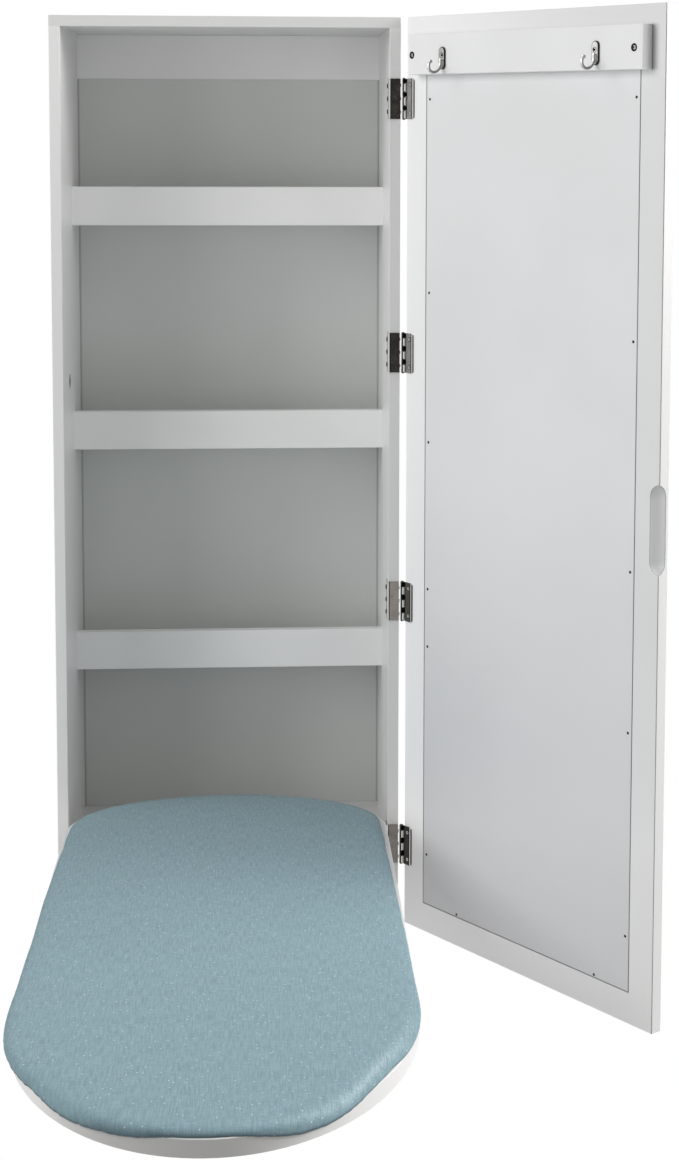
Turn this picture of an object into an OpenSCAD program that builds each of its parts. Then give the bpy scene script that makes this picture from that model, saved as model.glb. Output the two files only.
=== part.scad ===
// Wall-hung ironing board cabinet with a mirror door.
// X runs to the right and Z up, seen from the front. Y runs from the front edges to the wall.
// The origin is the middle of the hanging rail's rear face, on the wall plane.
// The model stands as it is used: door swung open, ironing board folded down.

/* [Cabinet] */
// Outside width
cab_w = 381; // [360:1:420]
// Outside height
cab_h = 1016; // [1000:1:1100]
// Depth from the front edges to the wall
cab_d = 220; // [200:1:280]
// Thickness of the side, top and deck panels, the shelves and the rails
panel_t = 12; // [11:0.5:15]
// Thickness of the back panel
back_t = 3; // [2:0.5:4]
// Distance from the wall to the back panel
back_inset = 5; // [3.5:0.5:6]
// Depth of the grooves that hold the back panel
groove_depth = 4; // [2:0.5:6]
// Height of the hanging rail
hang_rail_h = 52; // [44:1:80]
// Height of the deck's top above the bottom edge
deck_top = 70; // [60:1:74]
// Height of the front rail, which the ironing board rests on
front_rail_h = 112; // [110:1:130]
// Chamfer along the edges of the painted boards
arris = 0.6; // [0.3:0.1:1]

/* [Shelves] */
// Height of the lowest shelf's underside
shelf_first = 263; // [220:1:280]
// Distance from one shelf to the next
shelf_pitch = 260; // [200:1:270]
// Distance from the front edges to the shelf rails
shelf_set_back = 124; // [112:1:140]
// Height of the rails along the front of the shelves
shelf_rail_h = 44.4; // [30:0.2:70]

/* [Carcass screws] */
// Shank diameter of the carcass screws
carcass_screw_d = 4; // [3:0.5:4.5]
// Length of the carcass screws
carcass_screw_l = 38; // [30:1:50]
// Distance from the front and rear edges to the screws of the wide panels
carcass_screw_in = 45; // [30:1:60]

/* [Wall hangers] */
// Distance between the two keyhole plates
hanger_spacing = 254; // [180:1:280]
// Diameter of the keyhole's entry
keyhole_d = 9; // [8:0.5:10]
// Width of the keyhole's slot
keyhole_slot_w = 4.6; // [4:0.1:5.2]
// Thickness of the keyhole plates
hanger_t = 1.5; // [1:0.25:2]
// Depth of the pocket for the wall screw's head, behind the plate
hanger_pocket = 5; // [4:0.5:6]

/* [Door] */
// Thickness of the door
door_t = 13; // [12:0.5:16]
// Gap between the closed door and the front edges
door_gap = 3.15; // [3:0.05:4]
// Angle at which the door stands open
door_open = 126.4; // [95:0.1:170]
// Width of the frame around the backing panel
door_border = 32; // [28:1:45]
// Thickness of the backing panel
backing_t = 3; // [2:0.5:3.5]
// Thickness of the mirror glass
glass_t = 4; // [3:0.5:5]
// Width of the ledge that the backing panel is nailed to
ledge_w = 10; // [8:0.5:14]
// Width of the lip that holds the glass from the front
lip_w = 6; // [4:0.5:10]
// Chamfer around the front of the mirror's opening
sight_chamfer = 3; // [1:0.5:4]

/* [Finger pull] */
// Length of the finger pull in the door's free edge
pull_len = 90; // [60:1:140]
// Height of the middle of the finger pull
pull_mid = 507; // [400:1:600]
// Radius of the cove
pull_r = 13.6; // [12:0.2:15]
// Distance from the door's inner face to the axis of the cove
pull_out = 4.1; // [4:0.1:6]

/* [Hinges] */
// Height of a hinge
hinge_h = 44; // [38:1:50]
// Height of the middle of the lowest hinge
hinge_first = 90.5; // [80:0.5:92]
// Distance from the top edge to the middle of the highest hinge
hinge_last = 88.5; // [80:0.5:120]
// Thickness of the hinge leaves
leaf_t = 1.2; // [1:0.1:1.4]
// Width of the door leaf, from the door's edge
leaf_w = 12.5; // [10:0.5:16]
// Depth of the flange that wraps round onto the side panel's inner face
wrap_d = 15.5; // [12:0.5:22]
// Distance from the side panel's outer face to the hinge axis
hinge_out = 3.6; // [3.2:0.1:5]
// Diameter of the knuckles
knuckle_d = 5.2; // [4.6:0.1:5.6]
// Height of a knuckle of the door leaf
door_knuckle_h = 5.3; // [4:0.1:8]
// Height of the neck between the frame leaf and each of its knuckles
neck_h = 3.4; // [2:0.2:4]
// Diameter of the hinge pin
pin_d = 2.4; // [2:0.1:2.8]
// Distance from one screw of the wrapped flange to the next
wrap_screw_pitch = 14; // [10:0.5:15]

/* [Coat hooks] */
// Distance from the door's sides to the ends of the hook rail
hook_rail_in = 18; // [17:1:24]
// Height of the hook rail's face
hook_rail_h = 43.5; // [40:0.5:45]
// Thickness of the hook rail
hook_rail_t = 13.5; // [12:0.5:20]
// Distance from the door's top edge to the hook rail
hook_rail_top_in = 19.5; // [17:0.5:26]
// Distance between the two hooks
hook_spacing = 227; // [150:1:260]
// Distance that the hooks and the rail's screws sit off the middle, towards the hinges
hook_off = 3; // [0:0.5:4]
// Width of a hook's plate
hook_plate_w = 9.6; // [8:0.2:14]
// Height of a hook's plate
hook_plate_h = 24; // [20:1:30]
// Thickness of a hook's plate
hook_plate_t = 2.2; // [1.5:0.1:3]
// Diameter of the prong
prong_d = 3.3; // [2.8:0.1:4]
// Radius of the prong's first bend
prong_bend = 10; // [8:0.5:13]
// Radius of the prong's second bend, up to the tip
prong_curl = 6.4; // [5:0.2:8]
// Angle that the tip bends back towards the plate, in degrees
tip_lean = 52; // [20:1:70]

/* [Ironing board] */
// Width of the board
board_w = 350; // [330:1:351]
// Length of the board
board_l = 855; // [700:1:860]
// Thickness of the board
board_t = 15; // [14:0.5:18]
// Length of the rounded nose, a half ellipse
nose_l = 254.5; // [180:0.5:300]
// Length of the rounded heel, a half ellipse
heel_l = 115; // [80:1:150]
// Rise of the board towards its nose, in degrees
tilt = 1.5; // [0:0.1:3]
// Distance that the board sits to the left of the middle
board_left = 1; // [0:0.1:1.2]
// Thickness of the pad at its edge
pad_t = 8; // [6:0.5:12]
// Rise of the pad's crown over its edge
pad_crown = 2.4; // [1:0.2:4]
// Margin of the board that the pad leaves bare
pad_margin = 1.4; // [1:0.1:3]
// Distance that the pad's sides are drawn in under their widest line
pad_draw_in = 4; // [2:0.5:6]

/* [Board pivot] */
// Distance from the front edges to the pivot
pivot_back = 44; // [42:0.5:48]
// Distance from the pivot to the board's underside
pivot_drop = 24.1; // [22:0.1:26]
// Length of the board behind the pivot
heel_stub = 10.8; // [8:0.2:12]
// Diameter of the pivot rod
rod_d = 10; // [8:0.5:11]
// Diameter of the bush in the side panel
bush_d = 14; // [13:0.5:15]
// Distance from the middle to the outer face of a bracket
bracket_x = 86; // [70:1:90]
// Width of the bracket's flange
bracket_w = 26; // [22:1:30]
// Thickness of the brackets
bracket_t = 3; // [2:0.5:4]
// Height of the rubber rests on the front rail
rest_h = 2.6; // [2:0.1:5]
// Distance between the two rubber rests
rest_spacing = 220; // [150:1:250]

/* [Ball catch] */
// Distance from the pivot to the ball catch
catch_reach = 519; // [400:1:560]
// Diameter of the ball
ball_d = 7; // [6:0.5:8]
// Distance that the ball stands out of the board's edge
ball_out = 2; // [1:0.1:2.1]
// Diameter of the strike in the left side panel
strike_d = 17; // [15:0.5:20]

/* [Fits] */
// Radial clearance of a turning fit
run_fit = 0.05; // [0.02:0.01:0.1]
// Clearance of a screw in its hole
hole_fit = 0.05; // [0.02:0.01:0.1]
// Clearance of a panel in its groove or rebate
groove_fit = 0.15; // [0.1:0.05:0.25]
// Gap around the door's backing panel
backing_gap = 0.7; // [0.3:0.1:1]
// Gap between pieces that move past each other
move_gap = 0.3; // [0.3:0.05:0.4]
// Room around the lowest hinge, where the front rail and the deck are notched for it
notch_gap = 1; // [0.5:0.1:2]

/* [Hidden] */
$fn = 48;
over = 1;

white = [0.93, 0.93, 0.92];
nickel = [0.55, 0.54, 0.52];

inner_w = cab_w - 2 * panel_t;
origin_h = cab_h - panel_t - hang_rail_h / 2;
back_front = cab_d - back_inset - back_t;
wall_rail_h = deck_top - panel_t;
hang_rail_low = cab_h - panel_t - hang_rail_h;
rail_back = cab_d - panel_t;

// Places on the two side panels, each [distance behind the front edges, height]
function wide_pair(h) = [[carcass_screw_in, h], [cab_d - carcass_screw_in, h]];
function shelf_low(k) = shelf_first + k * shelf_pitch;
function shelf_screws(k) = [[(shelf_set_back + panel_t + back_front) / 2, shelf_low(k) + panel_t / 2]];
function shelf_rail_screws(k) = [[shelf_set_back + panel_t / 2, shelf_low(k) + shelf_rail_h * 0.7]];
top_screws = wide_pair(cab_h - panel_t / 2);
deck_screws = wide_pair(deck_top - panel_t / 2);
front_rail_screws = [for (f = [0.2, 0.8]) [panel_t / 2, (hinge_first - hinge_h / 2) * f]];
hang_rail_screws = [[cab_d - panel_t / 2, origin_h]];
wall_rail_screws = [[cab_d - panel_t / 2, wall_rail_h / 2]];
all_side_screws = concat(top_screws, deck_screws, front_rail_screws, hang_rail_screws,
  wall_rail_screws, shelf_screws(0), shelf_screws(1), shelf_screws(2),
  shelf_rail_screws(0), shelf_rail_screws(1), shelf_rail_screws(2));

// Wall hangers
hanger_w = 18;
hanger_h = 42;
hanger_screw = [2.6, 10, 5];
hanger_screw_up = 15;
keyhole_rise = 9;

// Hinges
hinge_axis = [cab_w / 2 + hinge_out, -cab_d - door_gap / 2, 0];
hinge_pitch = (cab_h - hinge_first - hinge_last) / 3;
knuckle_pairs = 3;
knuckle_pitch = hinge_h / knuckle_pairs;
leaf_corner = 3;
wrap_screw = [2.8, 10.5, 5.6];
wrap_screw_in = 9;
screw_head_h = 1.2;
leaf_screw = [2.8, 11, 5.2];
leaf_screw_in = 6.5;

// Door
door_face = -door_gap;
brad = [1.2, 9, 3];
brad_in = 6;
end_brad_in = 3.5;
brad_head_h = 0.6;
brad_end = 89.2;
// Places of the brads along the door's sides, as shares of the way from the first to the last
hinge_side_brads = [0, 0.282, 0.359, 0.554, 0.75, 1];
free_side_brads = [0, 0.249, 0.443, 0.716, 1];
end_brads = [cab_w / 2 - 88.7, 81 - cab_w / 2];

// Hook rail and hooks
hook_rail_l = cab_w - 2 * hook_rail_in;
hook_rail_low = cab_h - hook_rail_top_in - hook_rail_h;
hook_rail_screw = [4, 22, 8];
hook_rail_screw_in = 8.5;
hook_rail_screw_up = 21;
hook_up = 16.8;
hook_screw = [3, 14, 5.4];
hook_screw_up = 3.2;
prong_root_up = -1.5;
prong_stem = 3.6;

// Ironing board, in its own frame: origin on the pivot, -Y towards the nose, Z square to it
pivot_h = front_rail_h + rest_h + move_gap - pivot_drop / cos(tilt)
  - (pivot_back - panel_t / 2) * tan(tilt);
core_z = pivot_drop;
top_z = pivot_drop + board_t;
heel_mid = heel_stub - heel_l;
nose_mid = heel_stub - board_l + nose_l;
outline_steps = 36;
bracket_front = -(pivot_back - panel_t) + 2;
bracket_rear = -5;
ear_r = 9;
bracket_screw = [3.5, 11.5, 7];
bush_flange_d = bush_d + 5;
bush_flange_t = 1.5;
bush_depth = panel_t - 3;
bush_end = 1;
rod_end_gap = 0.4;
rest_d = 11;
catch_body_d = 9;
catch_body_l = 22;
catch_flange = [13, 1];
strike_flange_t = 1.2;
strike_bore_d = ball_d + 1.5;
strike_depth = 8;

// Puts a piece at x, at a distance behind the front edges and at a height over the bottom edge
module at(x, behind, height)
  translate([x, behind - cab_d, height - origin_h]) children();

// Turns a piece of the closed door to where the door stands open
module on_door()
  translate(hinge_axis) rotate([0, 0, door_open]) translate(-hinge_axis) children();

// Puts a piece given in the board's own frame onto the pivot
module on_board()
  at(0, pivot_back, pivot_h) rotate([-tilt, 0, 0]) children();

module chamfered(w, h, c)
  polygon([[c, 0], [w - c, 0], [w, c], [w, h - c], [w - c, h], [c, h], [0, h - c], [0, c]]);

// A board of w by d by h with all its edges broken
module board(w, d, h, c = arris)
  intersection() {
    linear_extrude(h) chamfered(w, d, c);
    translate([0, d, 0]) rotate([90, 0, 0]) linear_extrude(d) chamfered(w, h, c);
    rotate([90, 0, 90]) linear_extrude(w) chamfered(d, h, c);
  }

// A board of w by d by h with its long edges broken, square at the two ends that are fixed
module cross_piece(w, d, h)
  rotate([90, 0, 90]) linear_extrude(w) chamfered(d, h, arris);

// A countersunk screw, size = [shank, length, head], head up with its top at the origin
module flat_screw(size, grow = 0)
  rotate_extrude()
    polygon([[0, grow ? over : 0], [size[2] / 2 + grow, grow ? over : 0], [size[2] / 2 + grow, -0.3],
      [size[0] / 2 + grow, -0.3 - (size[2] - size[0]) / 2],
      [size[0] / 2 + grow, size[0] / 2 - size[1]], [0, -size[1] - grow]]);

// A screw with a low round head that sits on the face at the origin
module pan_screw(size, grow = 0, head_h = screw_head_h)
  rotate_extrude()
    polygon([[0, head_h], [size[2] * 0.28, head_h], [size[2] * 0.42, head_h * 0.75],
      [size[2] / 2, head_h * 0.3], [size[2] / 2, 0], [size[0] / 2 + grow, 0],
      [size[0] / 2 + grow, size[0] / 2 - size[1]], [0, -size[1] - grow]]);

// The cross slot in a screw's head, cut down from the top
module cross_slot(size, top = 0)
  for (turn = [45, 135])
    translate([0, 0, top]) rotate([0, 0, turn])
      cube([size[2] * 0.56, size[2] * 0.14, size[2] * 0.3], center = true);

module flat_screw_cut(size)
  difference() {
    flat_screw(size);
    cross_slot(size);
  }

module pan_screw_cut(size, head_h = screw_head_h)
  difference() {
    pan_screw(size, 0, head_h);
    cross_slot(size, head_h);
  }

// ---- carcass -------------------------------------------------------------------------------

// The children once at the left side, and mirrored at the right
module both_sides() {
  children();
  mirror([1, 0, 0]) children();
}

// Screws through the left side panel at the listed places
module left_screws(places, grow = 0)
  for (p = places)
    at(-cab_w / 2, p[0], p[1]) rotate([0, -90, 0])
      if (grow > 0) flat_screw(screw_size(), grow);
      else flat_screw_cut(screw_size());

function screw_size() = [carcass_screw_d, carcass_screw_l, carcass_screw_d * 2];

// A side board. Its outer edges are broken all round, and its inner front edge only between the
// boards that meet it.
module side_board()
  difference() {
    intersection() {
      linear_extrude(cab_h) half_chamfered(cab_d);
      translate([0, cab_d, 0]) rotate([90, 0, 0]) linear_extrude(cab_d) half_chamfered(cab_h);
      cross_piece(panel_t, cab_d, cab_h);
    }
    translate([panel_t, 0, front_rail_h])
      linear_extrude(cab_h - panel_t - front_rail_h)
        polygon([[-arris, 0], [0, arris], [over, arris], [over, -over], [-arris, -over]]);
  }

module half_chamfered(length)
  polygon([[arris, 0], [panel_t, 0], [panel_t, length], [arris, length], [0, length - arris],
    [0, arris]]);

module side_panel_blank()
  difference() {
    at(-cab_w / 2, 0, 0) side_board();
    at(-inner_w / 2 - groove_depth, back_front - groove_fit, wall_rail_h - groove_depth)
      cube([groove_depth + over, back_t + 2 * groove_fit,
        hang_rail_low - wall_rail_h + 2 * groove_depth]);
    left_screws(all_side_screws, hole_fit);
    at(-inner_w / 2, pivot_back, pivot_h) rotate([0, -90, 0])
      translate([0, 0, -over]) cylinder(d = bush_d + 2 * hole_fit, h = bush_depth + hole_fit + over);
  }

module left_side_panel()
  color(white)
    difference() {
      side_panel_blank();
      at_strike() {
        translate([0, 0, -over]) cylinder(d = strike_d + 2 * hole_fit, h = strike_flange_t + over);
        cylinder(d = strike_bore_d + 2 + 2 * hole_fit, h = strike_depth + hole_fit);
      }
    }

module right_side_panel()
  color(white)
    difference() {
      mirror([1, 0, 0]) side_panel_blank();
      for (k = [0:3]) on_hinge(k) wrap_screws(hole_fit);
    }

// A board across the inside, cut for the carcass screws in its ends
module cross_board(behind, height, d, h, places)
  color(white)
    difference() {
      at(-inner_w / 2, behind, height) cross_piece(inner_w, d, h);
      both_sides() left_screws(places, hole_fit);
    }

module top_panel()
  cross_board(0, cab_h - panel_t, cab_d, panel_t, top_screws);

module bottom_deck()
  color(white)
    difference() {
      cross_board(panel_t, wall_rail_h, back_front - panel_t, panel_t, deck_screws);
      hinge_notch();
    }

module front_rail()
  color(white)
    difference() {
      cross_board(0, 0, panel_t, front_rail_h, front_rail_screws);
      hinge_notch();
    }

// Room for the lowest hinge's wrapped flange and its screw heads
module hinge_notch()
  at(inner_w / 2 - leaf_t - screw_head_h - notch_gap, -over, hinge_first - hinge_h / 2 - notch_gap)
    cube([panel_t, wrap_d + notch_gap + over, hinge_h + 2 * notch_gap]);

module shelf(k)
  cross_board(shelf_set_back + panel_t, shelf_low(k), back_front - shelf_set_back - panel_t,
    panel_t, shelf_screws(k));

module shelf_rail(k)
  cross_board(shelf_set_back, shelf_low(k), panel_t, shelf_rail_h, shelf_rail_screws(k));

module back_panel()
  color(white)
    at(-inner_w / 2 - groove_depth + groove_fit, back_front, wall_rail_h - groove_depth + groove_fit)
      cube([inner_w + 2 * (groove_depth - groove_fit), back_t,
        hang_rail_low - wall_rail_h + 2 * (groove_depth - groove_fit)]);

// The back panel's groove across a rail's edge, at the given height
module rail_groove(height)
  at(-inner_w / 2 - over, back_front - groove_fit, height)
    cube([inner_w + 2 * over, back_t + 2 * groove_fit, groove_depth]);

module hanging_rail()
  difference() {
    cross_board(rail_back, hang_rail_low, panel_t, hang_rail_h, hang_rail_screws);
    rail_groove(hang_rail_low);
    at_hangers() {
      hanger_outline(hanger_t + hole_fit, hole_fit);
      keyhole_pocket();
      hanger_screws(hole_fit);
    }
  }

module lower_wall_rail()
  difference() {
    cross_board(rail_back, 0, panel_t, wall_rail_h, wall_rail_screws);
    rail_groove(wall_rail_h - groove_depth);
  }

module carcass_screws()
  color(nickel) both_sides() left_screws(all_side_screws);

// ---- wall hangers --------------------------------------------------------------------------

// Puts the children at both hangers, X to the left and Z into the rail, Y up
module at_hangers()
  for (s = [-1, 1])
    at(s * hanger_spacing / 2, cab_d, origin_h) rotate([90, 0, 0]) children();

module hanger_outline(t, grow = 0)
  translate([0, 0, -grow])
    linear_extrude(t + grow)
      union() {
        square([hanger_w + 2 * grow, hanger_h - hanger_w], center = true);
        for (s = [-1, 1])
          translate([0, s * (hanger_h - hanger_w) / 2]) circle(d = hanger_w + 2 * grow);
      }

module keyhole()
  translate([0, 0, -over])
    linear_extrude(hanger_t + 2 * over)
      union() {
        circle(d = keyhole_d);
        translate([-keyhole_slot_w / 2, 0]) square([keyhole_slot_w, keyhole_rise]);
        translate([0, keyhole_rise]) circle(d = keyhole_slot_w);
      }

// Room behind the plate for the wall screw's head, from the entry up along the slot
module keyhole_pocket()
  linear_extrude(hanger_t + hanger_pocket)
    union() {
      circle(d = keyhole_d);
      translate([-keyhole_d / 2, 0]) square([keyhole_d, keyhole_rise]);
      translate([0, keyhole_rise]) circle(d = keyhole_d);
    }

module hanger_screws(grow = 0)
  for (s = [-1, 1])
    translate([0, s * hanger_screw_up, 0]) rotate([180, 0, 0])
      if (grow > 0) flat_screw(hanger_screw, grow);
      else flat_screw_cut(hanger_screw);

module keyhole_plates()
  color(nickel)
    at_hangers()
      difference() {
        hanger_outline(hanger_t);
        keyhole();
        hanger_screws(hole_fit);
      }

module keyhole_plate_screws()
  color(nickel) at_hangers() hanger_screws();

// ---- board rests, bushes and strike --------------------------------------------------------

module rest_pads()
  color([0.2, 0.2, 0.2])
    for (s = [-1, 1])
      at(s * rest_spacing / 2, panel_t / 2, front_rail_h)
        rotate_extrude()
          polygon([[0, 0], [rest_d / 2, 0], [rest_d / 2, rest_h * 0.6], [rest_d / 2 - 0.8, rest_h],
            [0, rest_h]]);

module pivot_bush()
  at(-inner_w / 2, pivot_back, pivot_h) rotate([0, -90, 0])
    difference() {
      union() {
        translate([0, 0, -bush_flange_t]) cylinder(d = bush_flange_d, h = bush_flange_t);
        cylinder(d = bush_d, h = bush_depth);
      }
      translate([0, 0, -bush_flange_t - over])
        cylinder(d = rod_d + 2 * run_fit, h = bush_flange_t + over + bush_depth - bush_end);
    }

module pivot_bush_left()
  color("whitesmoke") pivot_bush();

module pivot_bush_right()
  color("whitesmoke") mirror([1, 0, 0]) pivot_bush();

// Puts the children at the strike, Z into the left side panel
module at_strike()
  at(-inner_w / 2, pivot_back + pivot_drop + board_t / 2, pivot_h + catch_reach)
    rotate([0, -90, 0]) children();

module catch_strike()
  color(nickel)
    at_strike()
      rotate_extrude()
        polygon([[strike_bore_d / 2 + 0.8, 0], [strike_d / 2, 0], [strike_d / 2, strike_flange_t],
          [strike_bore_d / 2 + 1, strike_flange_t], [strike_bore_d / 2 + 1, strike_depth],
          [0, strike_depth], [0, strike_depth - 1], [strike_bore_d / 2, strike_depth - 1],
          [strike_bore_d / 2, 0.8]]);

// ---- hinges --------------------------------------------------------------------------------

// Puts the children on hinge k, with the pin along Z and the hinge's lower end at the origin
module on_hinge(k)
  translate([hinge_axis[0], hinge_axis[1], hinge_first + k * hinge_pitch - hinge_h / 2 - origin_h])
    children();

// Knuckles of one leaf: each stands low mm over the foot of its pair and is tall mm high, and
// the leaf ends at the board's edge, with a neck to the upper end of each knuckle
module knuckles(low, tall, leaf_y, bore, neck)
  for (n = [0:knuckle_pairs - 1])
    translate([0, 0, n * knuckle_pitch + low + move_gap / 2])
      difference() {
        union() {
          cylinder(d = knuckle_d, h = tall - move_gap);
          translate([-hinge_out - 0.01, leaf_y, tall - move_gap - neck])
            cube([hinge_out + 0.01, leaf_t, neck]);
        }
        translate([0, 0, -over]) cylinder(d = bore, h = tall + 2 * over);
      }

wrap_x = -hinge_out - panel_t - leaf_t;

module frame_leaf(k)
  color(nickel)
    on_hinge(k)
      difference() {
        union() {
          translate([wrap_x, door_gap / 2 - leaf_t, 0]) cube([-hinge_out - wrap_x, leaf_t, hinge_h]);
          translate([wrap_x, door_gap / 2 - leaf_t, 0]) cube([leaf_t, leaf_t + wrap_d, hinge_h]);
          knuckles(0, knuckle_pitch - door_knuckle_h, door_gap / 2 - leaf_t, pin_d, neck_h);
        }
        wrap_screws(hole_fit);
      }

module wrap_screws(grow = 0)
  for (s = [-1:1])
    translate([wrap_x, door_gap / 2 + wrap_screw_in, hinge_h / 2 + s * wrap_screw_pitch])
      rotate([0, -90, 0])
        if (grow > 0) pan_screw(wrap_screw, grow);
        else pan_screw_cut(wrap_screw);

module hinge_frame_screws()
  color(nickel) for (k = [0:3]) on_hinge(k) wrap_screws();

module hinge_pins()
  color(nickel)
    for (k = [0:3])
      on_hinge(k)
        rotate_extrude()
          polygon([[0, -1], [pin_d * 0.6, -0.8], [pin_d * 0.75, 0], [pin_d / 2, 0],
            [pin_d / 2, hinge_h], [pin_d * 0.75, hinge_h], [pin_d * 0.6, hinge_h + 0.8],
            [0, hinge_h + 1]]);

// A plate of w by h with its two left corners rounded
module half_rounded(w, h, r)
  union() {
    translate([r, 0]) square([w - r, h]);
    translate([0, r]) square([r + 0.01, h - 2 * r]);
    for (z = [r, h - r])
      translate([r, z]) circle(r);
  }

module door_leaf(k)
  color(nickel)
    on_door() on_hinge(k)
      difference() {
        union() {
          translate([-hinge_out - leaf_w, leaf_t - door_gap / 2, 0]) rotate([90, 0, 0])
            linear_extrude(leaf_t)
              half_rounded(leaf_w, hinge_h, leaf_corner);
          knuckles(knuckle_pitch - door_knuckle_h, door_knuckle_h, -door_gap / 2,
            pin_d + 2 * run_fit, door_knuckle_h - move_gap);
        }
        leaf_screws(hole_fit);
      }

module leaf_screws(grow = 0)
  for (z = [leaf_screw_in, hinge_h - leaf_screw_in])
    translate([-hinge_out - leaf_w / 2, leaf_t - door_gap / 2, z]) rotate([-90, 0, 0])
      if (grow > 0) flat_screw(leaf_screw, grow);
      else flat_screw_cut(leaf_screw);

module hinge_door_screws()
  color(nickel) on_door() for (k = [0:3]) on_hinge(k) leaf_screws();

// ---- door ----------------------------------------------------------------------------------

// A slab of the closed door, inset from its edges, from one depth below its inner face to another
module door_slab(inset, from, to)
  at(inset - cab_w / 2, door_face - to, inset)
    cube([cab_w - 2 * inset, to - from, cab_h - 2 * inset]);

// Half of the chamfer around the mirror's opening: a trough that widens to the front
module sight_trough(width, length)
  translate([0, 0, -length / 2])
    linear_extrude(length)
      polygon([[-width / 2, 0], [-width / 2 - sight_chamfer - over, -sight_chamfer - over],
        [width / 2 + sight_chamfer + over, -sight_chamfer - over], [width / 2, 0]]);

// The chamfer with its mitred corners: one trough up the door crossed by one along it
module sight_cut(inset) {
  w = cab_w - 2 * inset;
  h = cab_h - 2 * inset;
  at(0, door_face - door_t + sight_chamfer, cab_h / 2)
    intersection() {
      sight_trough(w, cab_h);
      rotate([0, 90, 0]) sight_trough(h, cab_w);
    }
}

// The finger pull's cutter: a rod with ball ends along the arris of the free edge
module pull_cut()
  at(-cab_w / 2, door_face + pull_out, pull_mid) {
    reach = pull_len / 2 - sqrt(pull_r * pull_r - pull_out * pull_out);
    translate([0, 0, -reach]) cylinder(r = pull_r, h = 2 * reach);
    for (s = [-1, 1])
      translate([0, 0, s * reach]) sphere(r = pull_r);
  }

// Puts the children on the backing panel's face at each brad, Z out of the face
module at_brads() {
  in = door_border + brad_in;
  run = cab_h - 2 * brad_end;
  for (share = hinge_side_brads)
    at(cab_w / 2 - in, door_face, brad_end + share * run) rotate([-90, 0, 0]) children();
  for (share = free_side_brads)
    at(in - cab_w / 2, door_face, brad_end + share * run) rotate([-90, 0, 0]) children();
  for (x = end_brads, h = [door_border + end_brad_in, cab_h - door_border - end_brad_in])
    at(x, door_face, h) rotate([-90, 0, 0]) children();
}

module brad_shape(grow = 0)
  rotate_extrude()
    polygon([[0, grow ? over : 0], [brad[2] / 2 + grow, grow ? over : 0],
      [brad[2] / 2 + grow, -brad_head_h], [brad[0] / 2 + grow, -brad_head_h],
      [brad[0] / 2 + grow, brad[0] - brad[1]], [0, -brad[1] - grow]]);

module door_frame()
  color(white)
    on_door()
      difference() {
        at(-cab_w / 2, door_face - door_t, 0) board(cab_w, door_t, cab_h);
        door_slab(door_border, -over, backing_t);
        door_slab(door_border + ledge_w, 0, backing_t + glass_t);
        door_slab(door_border + ledge_w + lip_w, 0, door_t + over);
        sight_cut(door_border + ledge_w + lip_w);
        pull_cut();
        at_brads() brad_shape(hole_fit);
        at_hook_rail_screws() flat_screw(hook_rail_screw, hole_fit);
        for (k = [0:3]) on_hinge(k) leaf_screws(hole_fit);
      }

module mirror_glass()
  color([0.75, 0.8, 0.82])
    on_door()
      door_slab(door_border + ledge_w + 0.5, backing_t, backing_t + glass_t);

module door_backing_panel()
  color([0.86, 0.87, 0.88])
    on_door()
      difference() {
        door_slab(door_border + backing_gap, 0, backing_t);
        at_brads() brad_shape(hole_fit);
      }

module backing_brads()
  color(nickel) on_door() at_brads() brad_shape();

// ---- hook rail and coat hooks --------------------------------------------------------------

rail_face = door_face + hook_rail_t;

module hook_rail()
  color(white)
    on_door()
      difference() {
        at(-hook_rail_l / 2, door_face, hook_rail_low) board(hook_rail_l, hook_rail_t, hook_rail_h);
        at_hook_rail_screws() flat_screw(hook_rail_screw, hole_fit);
        at_hooks() hook_screw_place() flat_screw(hook_screw, hole_fit);
      }

module at_hook_rail_screws()
  for (s = [-1, 1])
    at(hook_off + s * (hook_rail_l / 2 - hook_rail_screw_in), rail_face,
      hook_rail_low + hook_rail_screw_up)
      rotate([-90, 0, 0]) children();

module hook_rail_screws()
  color(nickel) on_door() at_hook_rail_screws() flat_screw_cut(hook_rail_screw);

// Puts the children at both hooks, with Y out of the rail and the plate's middle at the origin
module at_hooks()
  for (s = [-1, 1])
    at_hook(s) children();

module at_hook(s)
  at(hook_off + s * hook_spacing / 2, rail_face, hook_rail_low + hook_up) children();

module hook_screw_place()
  translate([0, hook_plate_t, hook_screw_up]) rotate([-90, 0, 0]) children();

// A bend of the prong: centre at the origin, through a turn from one angle on in the YZ plane
module bend(r, from, turn)
  rotate([90, 0, 90]) rotate([0, 0, from])
    rotate_extrude(angle = turn) translate([r, 0]) circle(d = prong_d, $fn = 24);

module prong()
  translate([0, hook_plate_t + prong_d / 2 - 0.4, prong_root_up]) {
    translate([0, 0, -prong_stem]) cylinder(d = prong_d, h = prong_stem, $fn = 24);
    sphere(d = prong_d, $fn = 24);
    translate([0, prong_bend, -prong_stem]) bend(prong_bend, 180, 90);
    translate([0, prong_bend, -prong_stem - prong_bend + prong_curl]) {
      bend(prong_curl, 270, 90 + tip_lean);
      translate([0, prong_curl * cos(tip_lean), prong_curl * sin(tip_lean)])
        sphere(d = prong_d * 1.25, $fn = 32);
    }
  }

module hook_plate()
  rotate([-90, 0, 0]) {
    slot_shape(hook_plate_w, hook_plate_h, hook_plate_t * 0.6);
    translate([0, 0, hook_plate_t * 0.6])
      slot_shape(hook_plate_w - 1.2, hook_plate_h - 1.2, hook_plate_t * 0.4);
  }

module slot_shape(w, h, t)
  linear_extrude(t)
    union() {
      square([w, h - w], center = true);
      for (s = [-1, 1])
        translate([0, s * (h - w) / 2]) circle(d = w);
    }

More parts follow.
